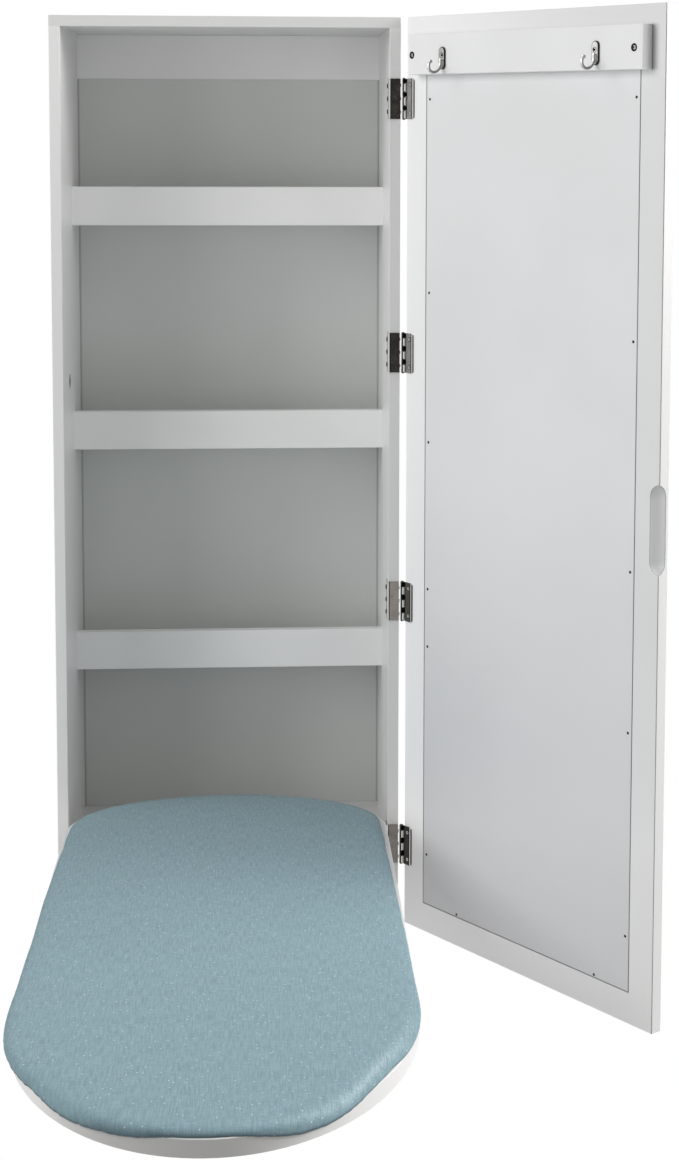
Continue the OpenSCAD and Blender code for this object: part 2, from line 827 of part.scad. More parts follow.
module coat_hook(s)
  color("silver")
    on_door() at_hook(s)
      difference() {
        union() {
          hook_plate();
          prong();
        }
        hook_screw_place() flat_screw(hook_screw, hole_fit);
      }

module coat_hook_screws()
  color("silver") on_door() at_hooks() hook_screw_place() flat_screw_cut(hook_screw);

// ---- ironing board -------------------------------------------------------------------------

// The board's outline as points: a half ellipse at each end of two straight sides.
// grow moves the outline out, share draws it in towards the middle line.
function outline(grow = 0, share = 1) =
  let (a = (board_w / 2 + grow) * share, n = outline_steps)
  concat(
    [for (i = [0:n]) let (t = 180 * i / n)
      [a * cos(t), heel_mid + (heel_l + grow) * share * sin(t)]],
    [for (i = [0:n]) let (t = 180 + 180 * i / n)
      [a * cos(t), nose_mid + (nose_l + grow) * share * sin(t)]]);

// The same outline in exact curves, grown by grow
module board_shape(grow = 0) {
  half_w = board_w / 2 + grow;
  union() {
    translate([0, heel_mid]) scale([half_w, heel_l + grow]) circle(1);
    translate([0, nose_mid]) scale([half_w, nose_l + grow]) circle(1);
    translate([-half_w, nose_mid]) square([2 * half_w, heel_mid - nose_mid]);
  }
}

module board_core()
  color(white)
    on_board()
      difference() {
        translate([-board_left, 0, core_z]) {
          linear_extrude(board_t - arris) board_shape();
          translate([0, 0, board_t - arris]) linear_extrude(arris) board_shape(-arris);
        }
        both_sides() at_bracket_screws() flat_screw(bracket_screw, hole_fit);
        at_catch() catch_shape(hole_fit);
      }

// Rings of the pad, each [height over the board, outline grown by, share of the width]
pad_rings = [
  [0, -pad_margin - pad_draw_in, 1],
  [pad_t * 0.12, -pad_margin - pad_draw_in * 0.35, 1],
  [pad_t * 0.42, -pad_margin, 1],
  [pad_t * 0.72, -pad_margin - 0.7, 1],
  [pad_t * 0.92, -pad_margin - 3, 1],
  [pad_t, -pad_margin - 7, 1],
  [pad_t + pad_crown * 0.35, -pad_margin - 7, 0.9],
  [pad_t + pad_crown * 0.72, -pad_margin - 7, 0.7],
  [pad_t + pad_crown * 0.94, -pad_margin - 7, 0.45],
  [pad_t + pad_crown, -pad_margin - 7, 0.2]
];

module ironing_pad() {
  rows = [for (r = pad_rings) [for (p = outline(r[1], r[2])) [p[0], p[1], r[0]]]];
  n = len(rows[0]);
  last = len(rows) - 1;
  points = [for (row = rows, p = row) p];
  walls = [for (j = [0:last - 1], i = [0:n - 1]) let (k = (i + 1) % n)
    each [[j * n + i, (j + 1) * n + i, j * n + k], [j * n + k, (j + 1) * n + i, (j + 1) * n + k]]];
  // each cap is a strip of triangles across the outline, from its first point to its last
  caps = [for (i = [0:n / 2 - 2]) let (a = i, b = i + 1, c = n - 1 - i, d = n - 2 - i)
    each [[a, b, c], [b, d, c],
      [last * n + a, last * n + c, last * n + b], [last * n + b, last * n + c, last * n + d]]];
  color([0.56, 0.68, 0.72])
    on_board() translate([-board_left, 0, top_z]) polyhedron(points, concat(walls, caps));
}

// A bracket: an ear round the pivot rod, and a flange under the board towards the middle
module bracket()
  difference() {
    union() {
      translate([bracket_x - bracket_t, 0, 0]) rotate([90, 0, 90])
        linear_extrude(bracket_t)
          hull() {
            circle(r = ear_r, $fn = 32);
            translate([bracket_front, core_z - bracket_t])
              square([bracket_rear - bracket_front, bracket_t]);
          }
      translate([bracket_x - bracket_w, bracket_front, core_z - bracket_t])
        cube([bracket_w, bracket_rear - bracket_front, bracket_t]);
    }
    translate([bracket_x - bracket_t - over, 0, 0]) rotate([0, 90, 0])
      cylinder(d = rod_d + 0.04, h = bracket_t + 2 * over);
    at_bracket_screws() flat_screw(bracket_screw, hole_fit);
  }

// Puts the children at the right bracket's screws, pointing up into the board
module at_bracket_screws()
  for (p = [[6.5, 0.22], [6.5, 0.78], [17, 0.5]])
    translate([bracket_x - bracket_w + p[0],
      bracket_front + (bracket_rear - bracket_front) * p[1], core_z - bracket_t])
      rotate([180, 0, 0]) children();

module board_bracket_right()
  color(nickel) on_board() bracket();

module board_bracket_left()
  color(nickel) on_board() mirror([1, 0, 0]) bracket();

module bracket_screws()
  color(nickel) on_board() both_sides() at_bracket_screws() flat_screw_cut(bracket_screw);

module pivot_rod() {
  reach = inner_w / 2 + bush_depth - bush_end - rod_end_gap;
  color(nickel)
    on_board() translate([-reach, 0, 0]) rotate([0, 90, 0])
      rotate_extrude()
        polygon([[0, 0], [rod_d / 2 - 0.5, 0], [rod_d / 2, 0.5], [rod_d / 2, 2 * reach - 0.5],
          [rod_d / 2 - 0.5, 2 * reach], [0, 2 * reach]]);
}

// Puts the children at the ball catch in the board's left edge, Z out of the edge
module at_catch()
  translate([-board_w / 2 - board_left, -catch_reach, core_z + board_t / 2])
    rotate([0, -90, 0]) children();

module catch_shape(grow = 0) {
  translate([0, 0, -catch_body_l - grow]) cylinder(d = catch_body_d + 2 * grow, h = catch_body_l + grow);
  translate([0, 0, -catch_flange[1]])
    cylinder(d = catch_flange[0] + 2 * grow, h = catch_flange[1] + (grow > 0 ? over : 0));
}

module ball_catch()
  color("goldenrod")
    on_board() at_catch()
      union() {
        catch_shape();
        translate([0, 0, ball_out - ball_d / 2]) sphere(d = ball_d);
      }

left_side_panel();
right_side_panel();
top_panel();
bottom_deck();
front_rail();
back_panel();
hanging_rail();
lower_wall_rail();
shelf(0);  // shelf_1
shelf(1);  // shelf_2
shelf(2);  // shelf_3
shelf_rail(0);  // shelf_rail_1
shelf_rail(1);  // shelf_rail_2
shelf_rail(2);  // shelf_rail_3
carcass_screws();
keyhole_plates();
keyhole_plate_screws();
rest_pads();
pivot_bush_left();
pivot_bush_right();
catch_strike();
frame_leaf(0);  // frame_leaf_1
frame_leaf(1);  // frame_leaf_2
frame_leaf(2);  // frame_leaf_3
frame_leaf(3);  // frame_leaf_4
hinge_frame_screws();
hinge_pins();
door_frame();
mirror_glass();
door_backing_panel();
backing_brads();
door_leaf(0);  // door_leaf_1
door_leaf(1);  // door_leaf_2
door_leaf(2);  // door_leaf_3
door_leaf(3);  // door_leaf_4
hinge_door_screws();
hook_rail();
hook_rail_screws();
coat_hook(-1);  // coat_hook_left
coat_hook(1);  // coat_hook_right
coat_hook_screws();
board_core();
ironing_pad();
board_bracket_left();
board_bracket_right();
bracket_screws();
pivot_rod();
ball_catch();
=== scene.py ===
"""Looks for a wall cabinet with a mirrored door and a fold-down ironing board.

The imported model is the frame. Hard parts keep their own meshes and get their finishes here, and
the ironing pad is made here as a padded piece. Lengths are in metres in the row frame, apart from
the pad's own sizes, which are in millimetres in the board's frame.
"""

import logging
import math
from dataclasses import dataclass
from enum import Enum
from typing import Callable, Union

import bmesh
import bpy
import numpy as np
from mathutils import Matrix, Vector


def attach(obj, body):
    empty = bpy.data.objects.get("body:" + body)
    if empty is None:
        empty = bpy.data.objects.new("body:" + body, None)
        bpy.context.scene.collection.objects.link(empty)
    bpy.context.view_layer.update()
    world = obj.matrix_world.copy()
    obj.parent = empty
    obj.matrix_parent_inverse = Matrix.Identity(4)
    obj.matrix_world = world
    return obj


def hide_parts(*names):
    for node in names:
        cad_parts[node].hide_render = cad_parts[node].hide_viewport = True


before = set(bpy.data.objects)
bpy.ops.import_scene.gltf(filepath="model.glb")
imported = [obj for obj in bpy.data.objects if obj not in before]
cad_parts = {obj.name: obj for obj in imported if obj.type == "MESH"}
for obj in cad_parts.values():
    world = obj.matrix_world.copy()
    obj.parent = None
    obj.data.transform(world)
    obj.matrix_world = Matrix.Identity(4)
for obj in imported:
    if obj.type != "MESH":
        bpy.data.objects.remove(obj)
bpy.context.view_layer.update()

LOG = logging.getLogger("ironing_cabinet")
MM = 0.001

# Row frame, in metres: the door's hinge axis, the foot of the lowest hinge and the way up to the
# next. DOOR_TURN shuts the open door.
HINGE_AXIS = (0.1941, -0.221575, 0.0)
HINGE_FOOT = -0.9095
HINGE_PITCH = 0.279
DOOR_TURN = math.radians(-126.4)

# The board's pivot in the row frame, in millimetres, and how far the lowered board leans.
BOARD_PIVOT = (0.0, -176.0, -888.203)
BOARD_TILT = math.radians(1.5)

MADE: dict[str, bpy.types.Material] = {}

Pair = tuple[float, float]
Triple = tuple[float, float, float]
Colour = tuple[float, float, float, float]
Term = Union["Wire", float, int]
Tint = Union["Wire", Colour]


def paint(red: float, green: float, blue: float) -> Colour:
    """Gives the linear colour of three 8-bit display levels.

    Args:
        red: Red level, from 0 to 255.
        green: Green level.
        blue: Blue level.

    Returns:
        The colour's four numbers, the last of which is 1.
    """
    levels = np.array([red, green, blue], float) / 255
    linear = np.where(levels <= 0.04045, levels / 12.92, ((levels + 0.055) / 1.055) ** 2.4)
    return (float(linear[0]), float(linear[1]), float(linear[2]), 1.0)


# ---- shader sums ----


def math_node(operation: str, turned: bool = False) -> Callable[["Wire", Term], "Wire"]:
    """Makes an operator of Wire, which adds a Math node.

    Args:
        operation: The node's operation.
        turned: True where other comes first.

    Returns:
        The operator.
    """

    def operator(self: "Wire", other: Term) -> "Wire":
        """Adds the node."""
        first, second = (other, self) if turned else (self, other)
        return self.bench.add("ShaderNodeMath", {"operation": operation}, {0: first, 1: second})

    return operator


class Wire:
    """An output socket that can be used in Python sums, each of which adds a Math node."""

    def __init__(self, bench: "Bench", socket: bpy.types.NodeSocket) -> None:
        """Wraps a socket of the bench's node tree."""
        self.bench = bench
        self.socket = socket

    # % keeps what is left after whole steps of other, > and < give 1 or 0, and over() takes the
    # larger of the two.
    __add__ = __radd__ = math_node("ADD")
    __sub__ = math_node("SUBTRACT")
    __rsub__ = math_node("SUBTRACT", turned=True)
    __mul__ = __rmul__ = math_node("MULTIPLY")
    __truediv__ = math_node("DIVIDE")
    __pow__ = math_node("POWER")
    __mod__ = math_node("FLOORED_MODULO")
    __gt__ = math_node("GREATER_THAN")
    __lt__ = math_node("LESS_THAN")
    over = math_node("MAXIMUM")

    def __abs__(self) -> "Wire":
        """Drops the sign."""
        return self.bench.add("ShaderNodeMath", {"operation": "ABSOLUTE"}, {0: self})

    def wave(self) -> "Wire":
        """Takes the sine."""
        return self.bench.add("ShaderNodeMath", {"operation": "SINE"}, {0: self})

    def near(self, middle: float, half: float) -> "Wire":
        """Gives 1 within half of the middle, and 0 elsewhere."""
        return abs(self - middle) < half

    def fade(self, start: float, end: float) -> "Wire":
        """Runs smoothly from 0 at start to 1 at end."""
        settings = {"interpolation_type": "SMOOTHSTEP"}
        return self.bench.add("ShaderNodeMapRange", settings, {0: self, 1: start, 2: end})


class Bench:
    """The node tree of one finish."""

    def __init__(self, holder: bpy.types.Material | bpy.types.World) -> None:
        """Turns the holder's nodes on and clears them.

        Args:
            holder: The material or world.
        """
        holder.use_nodes = True
        self.tree = holder.node_tree
        self.tree.nodes.clear()

    def add(self, kind: str, settings: dict[str, object] | None = None,
            sockets: dict[int | str, object] | None = None, out: int | str = 0) -> Wire:
        """Adds a node: its settings come first, then its sockets.

        Args:
            kind: The node's type.
            settings: Properties of the node.
            sockets: A value or a Wire for each input, by name or number.
            out: The output to hand back.

        Returns:
            That output as a Wire.
        """
        node = self.tree.nodes.new(kind)
        for name, value in (settings or {}).items():
            setattr(node, name, value)
        for name, value in (sockets or {}).items():
            if isinstance(value, Wire):
                self.tree.links.new(value.socket, node.inputs[name])
            else:
                node.inputs[name].default_value = value
        return Wire(self, node.outputs[out]) if len(node.outputs) else Wire(self, None)

    def spot(self, turn: float = 0.0, stretch: Triple = (1, 1, 1)) -> Wire:
        """Gives the object coordinates, turned about the upright axis and stretched.

        Args:
            turn: Angle about Z, in radians.
            stretch: Scale along each axis after the turn.

        Returns:
            The coordinates.
        """
        here = self.add("ShaderNodeTexCoord", out="Object")
        turned = self.add("ShaderNodeMapping", {}, {0: here, 2: (0.0, 0.0, turn)})
        return self.add("ShaderNodeMapping", {}, {0: turned, 3: stretch})

    def from_hinge(self, turn: float) -> tuple[Wire, Wire, Wire]:
        """Gives the place from the hinge axis, with the door turned shut.

        Args:
            turn: Angle that shuts the door, in radians, or 0 for a fixed piece.

        Returns:
            The distances to the right, into the wall and up, in metres. Heights are the frame's.
        """
        shift = -(Matrix.Rotation(turn, 3, "Z") @ Vector(HINGE_AXIS))
        here = self.add("ShaderNodeTexCoord", out="Object")
        return self.parts(self.add("ShaderNodeMapping", {}, {0: here, 1: shift, 2: (0, 0, turn)}))

    def parts(self, vector: Wire) -> tuple[Wire, Wire, Wire]:
        """Splits a vector into its three numbers.

        Args:
            vector: The vector.

        Returns:
            Its first, second and third number.
        """
        first = self.add("ShaderNodeSeparateXYZ", {}, {0: vector})
        outputs = first.socket.node.outputs
        return first, Wire(self, outputs[1]), Wire(self, outputs[2])

    def noise(self, where: Wire, scale: float, detail: float = 2.0, rough: float = 0.5) -> Wire:
        """Adds cloudy noise from 0 to 1 with its middle at 0.5, in waves to the metre."""
        sockets = {"Vector": where, "Scale": scale, "Detail": detail, "Roughness": rough}
        return self.add("ShaderNodeTexNoise", {}, sockets)

    def cells(self, where: Wire, scale: float, ways: str = "3D") -> Wire:
        """Adds the distance to the nearest of many points, scattered in space or on a plane."""
        settings = {"feature": "F1", "voronoi_dimensions": ways}
        return self.add("ShaderNodeTexVoronoi", settings, {"Vector": where, "Scale": scale})

    def blend(self, share: Term, first: Tint, second: Tint) -> Wire:
        """Mixes two colours by the share of the second."""
        sockets = {0: share, 6: first, 7: second}
        return self.add("ShaderNodeMix", {"data_type": "RGBA"}, sockets, out=2)

    def relief(self, height: Wire, depth: float, strength: float = 1.0) -> Wire:
        """Turns heights from 0 to 1 into a bumped normal, with the relief's depth in metres."""
        sockets = {"Strength": strength, "Distance": depth, "Height": height}
        return self.add("ShaderNodeBump", {}, sockets)


# ---- finishes ----

# Places are in metres. On the door and its hinges and hooks they are from the hinge axis with the
# door turned shut. A pair is a middle and a half size, or where a fade starts and ends.


@dataclass(frozen=True)
class Finish:
    """A surface finish. Each kind fills in look(), and some lay marks over their tone."""

    name: str
    colour: Colour
    roughness: float

    def look(self, bench: Bench) -> dict[str, object]:
        """Gives the values and Wires of the Principled shader's sockets."""
        raise NotImplementedError

    def marked(self, bench: Bench, tone: Wire) -> Wire:
        """Gives the tone with the piece's own marks over it. A plain piece has none."""
        return tone

    def material(self) -> bpy.types.Material:
        """Makes the finish once, and hands the same material back after that.

        Returns:
            The material.
        """
        made = MADE.get(self.name)
        if made is None:
            made = MADE[self.name] = bpy.data.materials.new(f"{self.name}_look")
            bench = Bench(made)
            shader = bench.add("ShaderNodeBsdfPrincipled", {}, self.look(bench))
            bench.add("ShaderNodeOutputMaterial", {}, {0: shader})
            made.diffuse_color = self.colour
        return made


@dataclass(frozen=True)
class SatinLacquer(Finish):
    """White satin lacquer on board: broad faint clouds, and the fine stipple of a roller."""

    shade: Colour = paint(212, 212, 211)
    stipple: float = 0.00003
    turn: float = 0.0

    def look(self, bench: Bench) -> dict[str, object]:
        """Clouds move the colour and the gloss a little, and two noises make the stipple.

        Args:
            bench: The finish's bench.

        Returns:
            The Principled shader's values and Wires, by socket.
        """
        where = bench.spot(self.turn)
        clouds = bench.noise(where, 5.0, 3.0)
        fine = bench.noise(where, 1500.0, 2.0)
        coarse = bench.noise(where, 330.0, 2.0)
        tone = bench.blend((clouds - 0.5).fade(-0.35, 0.35) * 0.35, self.colour, self.shade)
        return {
            "Base Color": self.marked(bench, tone),
            "Roughness": (clouds - 0.5) * 0.12 + (fine - 0.5) * 0.06 + self.roughness,
            "Normal": bench.relief(fine * 0.4 + coarse * 0.6, self.stipple, 0.5),
            "IOR": 1.46,
        }


@dataclass(frozen=True)
class InsetPanel(SatinLacquer):
    """Lacquer on a panel set into a frame, with a dark joint round it that is partly painted shade.
    """

    middle: Pair = (-0.1941, -0.47)
    half: Pair = (0.1578, 0.4753)
    line: float = 0.0011
    dust_and_painted_shade: Pair = (-0.4, -0.98)
    joint_and_painted_shade: Colour = paint(120, 121, 122)
    painted_low_shade: Colour = paint(200, 201, 203)

    def marked(self, bench: Bench, tone: Wire) -> Wire:
        """The dark joint line, partly painted shade, lies where the larger of the distances past
        the two half sizes nears 0.

        A painted shade darkens the panel downwards between its two heights.

        Args:
            bench: The finish's bench.
            tone: The tone under the marks.

        Returns:
            The tone with its marks.
        """
        along, _, up = bench.from_hinge(self.turn)
        past = (abs(along - self.middle[0]) - self.half[0]).over(
            abs(up - self.middle[1]) - self.half[1])
        share = past.fade(-self.line, -self.line * 0.4) * 0.8
        # Painted shade, darker towards the bottom of the panel.
        tone = bench.blend(up.fade(*self.dust_and_painted_shade) * 0.8, tone, self.painted_low_shade)
        # Dark joint line round the panel, partly painted shade.
        return bench.blend(share, tone, self.joint_and_painted_shade)


@dataclass(frozen=True)
class EdgedLacquer(SatinLacquer):
    """Lacquer on the door: banded at its free edge, and made whiter towards the hinges by painted
    light.

    The hook rail's three numbers are its free end and the middle and half size of its height.
    """

    edge: float = -0.3846
    face: float = -0.001575
    arris: float = 0.0003
    skin: float = 0.0005
    line: float = 0.0009
    rim: Pair = (0.0010, 0.0011)
    pull: Pair = (-0.471, 0.062)
    pull_in: float = 0.016
    rail: Triple = (-0.3666, -0.00325, 0.02175)
    dust_and_painted_shade: float = 0.0115
    soft: float = 0.002
    painted_light_span: Pair = (-0.36, 0.02)
    glue: Colour = paint(112, 111, 110)
    band: Colour = paint(203, 203, 202)
    scoop: Colour = paint(203, 203, 203)
    painted_hinge_light: Colour = paint(245, 245, 245)

    def marked(self, bench: Bench, tone: Wire) -> Wire:
        """A glue line lies on the inner face next to the band, and a dark line of painted shade
        round the scoop.

        The scoop is what lies under the inner face and inside the edge, at the pull's height, and
        it is greyed by painted shade.
        A painted shadow lies on the inner face beside the hook rail's free end.

        Args:
            bench: The finish's bench.
            tone: The tone under the marks.

        Returns:
            The tone with its marks.
        """
        along, depth, up = bench.from_hinge(self.turn)
        at_face = depth > self.face - self.skin
        inside = up.near(*self.pull) * (along > self.edge + self.arris)
        inside = inside * (along < self.edge + self.pull_in) * (depth < self.face - self.arris)
        rim = (depth > self.face - self.rim[0]).over(along < self.edge + self.rim[1])
        glue = (along < self.edge + self.line) * at_face
        end, middle, half = self.rail
        # Painted shadow on the inner face beside the hook rail's free end, in the glue line's grey.
        dust_and_painted_shade = abs(up - middle).fade(half + self.soft, half - self.soft) * at_face
        dust_and_painted_shade = dust_and_painted_shade * along.fade(end - self.dust_and_painted_shade, end + self.skin) * (along < end + self.skin * 2)
        # Painted light: the door is whiter towards the hinges.
        tone = bench.blend(along.fade(*self.painted_light_span), tone, self.painted_hinge_light)
        tone = bench.blend(dust_and_painted_shade * 0.62, tone, self.glue)
        tone = bench.blend(along < self.edge + self.arris, tone, self.band)
        # Painted shade greys the scoop, and a painted dark line rims it; the glue line beside the
        # band is a dark joint.
        tone = bench.blend(inside, tone, self.scoop)
        return bench.blend((inside * rim * 0.45).over(glue * 0.75), tone, self.glue)


@dataclass(frozen=True)
class RailLacquer(SatinLacquer):
    """Lacquer on the hook rail, with its free end greyed by painted shade."""

    end: float = -0.3662
    joint: float = -0.0009
    painted_end_shade: Colour = paint(209, 209, 209)
    dark: Colour = paint(120, 120, 120)

    def marked(self, bench: Bench, tone: Wire) -> Wire:
        """The painted shade on the end is darkest next to the door, before the joint's depth.

        Args:
            bench: The finish's bench.
            tone: The tone under the marks.

        Returns:
            The tone with its marks.
        """
        along, depth, _ = bench.from_hinge(self.turn)
        end = bench.blend(depth < self.joint, self.painted_end_shade, self.dark)
        return bench.blend(along < self.end, tone, end)


@dataclass(frozen=True)
class NoseLacquer(SatinLacquer):
    """Lacquer on the board, grey with painted shade round the middle of its nose, with a painted
    highlight on the arris.
    """

    nose_shade_middle: float = -0.03
    sides: Pair = (0.15, 0.035)
    front: Pair = (-0.90, -0.97)
    arris_height: Pair = (0.0388, 0.0005)
    painted_nose_shade: Colour = paint(170, 169, 168)
    arris: Colour = paint(250, 250, 249)

    def marked(self, bench: Bench, tone: Wire) -> Wire:
        """The painted shade fades out from its middle, up both sides of the nose. The painted
        highlight is on the arris, the top edge.

        The height over the pivot, square to the board, is the depth from the pivot times the sine
        of the board's tilt, plus the height from the pivot times its cosine.

        Args:
            bench: The finish's bench.
            tone: The tone under the marks.

        Returns:
            The tone with its marks.
        """
        right, depth, up = bench.parts(bench.spot())
        share = abs(right - self.nose_shade_middle).fade(*self.sides) * depth.fade(*self.front)
        # Painted shade round the middle of the nose.
        tone = bench.blend(share * 0.92, tone, self.painted_nose_shade)
        _, pivot_depth, pivot_up = BOARD_PIVOT
        over = (depth - pivot_depth * MM) * math.sin(BOARD_TILT)
        over = over + (up - pivot_up * MM) * math.cos(BOARD_TILT)
        # Painted highlight along the arris.
        return bench.blend(over.near(*self.arris_height) * 0.75, tone, self.arris)


@dataclass(frozen=True)
class PanelLacquer(SatinLacquer):
    """Lacquer on the cabinet's panels, a little greyer on their front edges with painted shade."""

    front: float = -0.2194
    edge: Colour = paint(219, 219, 218)
    top: float = 0.0262
    top_edge: Colour = paint(208, 208, 207)

    def marked(self, bench: Bench, tone: Wire) -> Wire:
        """The front edges, greyed by painted shade, are all that lies before the front plane. The
        top one is greyest.

        Args:
            bench: The finish's bench.
            tone: The tone under the marks.

        Returns:
            The tone with its marks.
        """
        _, depth, up = bench.parts(bench.spot())
        edge = bench.blend(up > self.top, self.edge, self.top_edge)
        return bench.blend(depth < self.front, tone, edge)


@dataclass(frozen=True)
class Hardboard(Finish):
    """A thin board, lacquered on one face, with bare brown fibres on the other."""

    cloudy: Colour = paint(164, 166, 164)
    joint_and_painted_shade: Colour = paint(120, 121, 120)
    bare: Colour = paint(122, 88, 58)
    fibre: Colour = paint(158, 122, 84)
    fleck: Colour = paint(84, 58, 38)
    bare_from: float = 0.0
    corner: Pair = (0.1755, 0.178)

    def look(self, bench: Bench) -> dict[str, object]:
        """Fibres are noise drawn out along the board. Behind bare_from the brown side shows.

        Painted shade darkens both sides, where the distance from the middle nears the side panels.

        Args:
            bench: The finish's bench.

        Returns:
            The Principled shader's values and Wires, by socket.
        """
        where = bench.spot()
        right, depth, _ = bench.parts(where)
        behind = depth > self.bare_from
        clouds = bench.noise(where, 7.0, 3.0)
        fibres = bench.noise(bench.spot(0.4, (260.0, 260.0, 900.0)), 1.0, 4.0, 0.7)
        flecks = bench.noise(bench.spot(0.0, (900.0, 300.0, 240.0)), 1.0, 3.0, 0.7)
        lacquer = bench.blend(clouds * 0.16, self.colour, self.cloudy)
        # Painted shade in the corners next to the side panels.
        lacquer = bench.blend(abs(right).fade(*self.corner) * 0.5, lacquer, self.joint_and_painted_shade)
        brown = bench.blend(fibres.fade(0.35, 0.7), self.bare, self.fibre)
        brown = bench.blend(flecks.fade(0.62, 0.75) * 0.6, brown, self.fleck)
        return {
            "Base Color": bench.blend(behind, lacquer, brown),
            "Roughness": behind * 0.25 + (clouds - 0.5) * 0.1 + self.roughness,
            "Normal": bench.relief(fibres * (behind * 0.8 + 0.2), 0.00012, 0.6),
        }


@dataclass(frozen=True)
class Silvering(Finish):
    """Mirror glass: a clear coat over silver, with the faintest wiping marks."""

    smeared: Colour = paint(215, 226, 222)

    def look(self, bench: Bench) -> dict[str, object]:
        """Wide smears raise the roughness a little.

        Args:
            bench: The finish's bench.

        Returns:
            The Principled shader's values and Wires, by socket.
        """
        smears = bench.noise(bench.spot(0.9, (3.0, 3.0, 11.0)), 1.0, 4.0, 0.6)
        dust_and_painted_shade = bench.noise(bench.spot(), 900.0, 1.0)
        return {
            "Base Color": bench.blend(smears * 0.06, self.colour, self.smeared),
            "Metallic": 1.0,
            "Roughness": smears.fade(0.45, 0.8) * 0.03 + dust_and_painted_shade.fade(0.7, 0.9) * 0.02
            + self.roughness,
            "Coat Weight": 0.6,
            "Coat Roughness": 0.01,
        }


@dataclass(frozen=True)
class PlatedMetal(Finish):
    """Plated metal: brushed lines, a cloudy plating and darker stains."""

    stain: Colour = paint(80, 74, 68)
    stained: float = 0.5
    brushed: float = 0.00003
    stretch: Triple = (300.0, 300.0, 5000.0)

    def look(self, bench: Bench) -> dict[str, object]:
        """Noise drawn out along the strokes is the brushing, and clouds are the stains.

        Args:
            bench: The finish's bench.

        Returns:
            The Principled shader's values and Wires, by socket.
        """
        where = bench.spot()
        strokes = bench.noise(bench.spot(0.0, self.stretch), 1.0, 3.0, 0.6)
        clouds = bench.noise(where, 110.0, 4.0, 0.6)
        grains = bench.noise(where, 1400.0, 2.0)
        tone = bench.blend(clouds.fade(0.4, 0.72) * self.stained, self.colour, self.stain)
        tone = bench.blend(strokes.fade(0.3, 0.8) * 0.25, tone, self.stain)
        return {
            "Base Color": self.marked(bench, tone),
            "Metallic": 1.0,
            "Roughness": (clouds - 0.5) * 0.25 + (grains - 0.5) * 0.1 + self.roughness,
            "Normal": bench.relief(strokes * 0.7 + grains * 0.3, self.brushed, 0.7),
        }


class Leaf(Enum):
    """The two leaves of a hinge."""

    FRAME = "frame"
    DOOR = "door"


@dataclass(frozen=True)
class HingeNickel(PlatedMetal):
    """Bright nickel with painted reflections of a dark room: flats painted dark and knuckles
    painted with bright streaks.

    The knuckle's two numbers are its reach on the frame leaf and on the door leaf.
    """

    leaf: Leaf = Leaf.FRAME
    foot: float = HINGE_FOOT
    pitch: float = 0.014667
    knuckle: Pair = (0.0032, 0.0050)
    lit: float = -0.0018
    painted_glint: Pair = (0.0010, 0.0012)
    between: Pair = (0.32, 0.27)
    arris: float = -0.0139
    flange_from: Pair = (-0.0150, 0.0017)
    groove: Pair = (0.0127, 0.0006)
    border: Pair = (0.01445, 0.0008)
    rim: float = 0.0156
    bright: Colour = paint(248, 247, 244)
    dark: Colour = paint(20, 19, 19)
    flange: Colour = paint(196, 196, 194)

    def look(self, bench: Bench) -> dict[str, object]:
        """Painted reflections: streaks follow the distance from the axis, and the knuckles a
        fraction of their pitch.

        A knuckle has a painted highlight on its left. The frame's knuckles have a second painted
        streak on the right between their ends. The door leaf has a painted dark groove and a
        painted bright border, and the frame leaf a painted dark arris and a painted pale flange.

        Args:
            bench: The finish's bench.

        Returns:
            The Principled shader's values and Wires, by socket.
        """
        sockets = super().look(bench)
        right, depth, up = bench.from_hinge(0.0)
        reach = (right * right + depth * depth) ** 0.5
        share = (up - self.foot) / self.pitch % 1.0
        painted_glint = right < self.lit
        rare = bench.noise(bench.spot(), 130.0, 1.0).fade(0.55, 0.68)
        specks = bench.cells(bench.spot(), 700.0).fade(0.3, 0.15) * rare
        tone = bench.blend(specks * 0.35, sockets["Base Color"], self.flange)
        if self.leaf is Leaf.FRAME:
            painted_glint = painted_glint.over(right.near(*self.painted_glint) * share.near(*self.between))
            flange = (right < self.flange_from[0]).over(depth > self.flange_from[1])
            # Painted reflections: a dark arris and a pale flange on the frame leaf.
            tone = bench.blend((right < self.arris) * 0.9, tone, self.dark)
            tone = bench.blend(flange, tone, self.flange)
            knuckle = reach < self.knuckle[0]
        else:
            away = -1 * bench.from_hinge(DOOR_TURN)[0]
            # Painted reflections: a dark groove, a bright border and a dark rim on the door leaf.
            tone = bench.blend(away.near(*self.groove) * 0.8, tone, self.dark)
            tone = bench.blend(away.near(*self.border) * 0.9, tone, self.bright)
            tone = bench.blend((away > self.rim) * 0.8, tone, self.dark)
            knuckle = reach < self.knuckle[1]
        # Painted reflections on the knuckles: bright and dark streaks.
        painted_glint_tone = bench.blend(painted_glint, self.dark, self.bright)
        sockets["Base Color"] = bench.blend(knuckle, tone, painted_glint_tone)
        sockets["Metallic"] = 1.0 - knuckle * painted_glint * 0.7
        return sockets


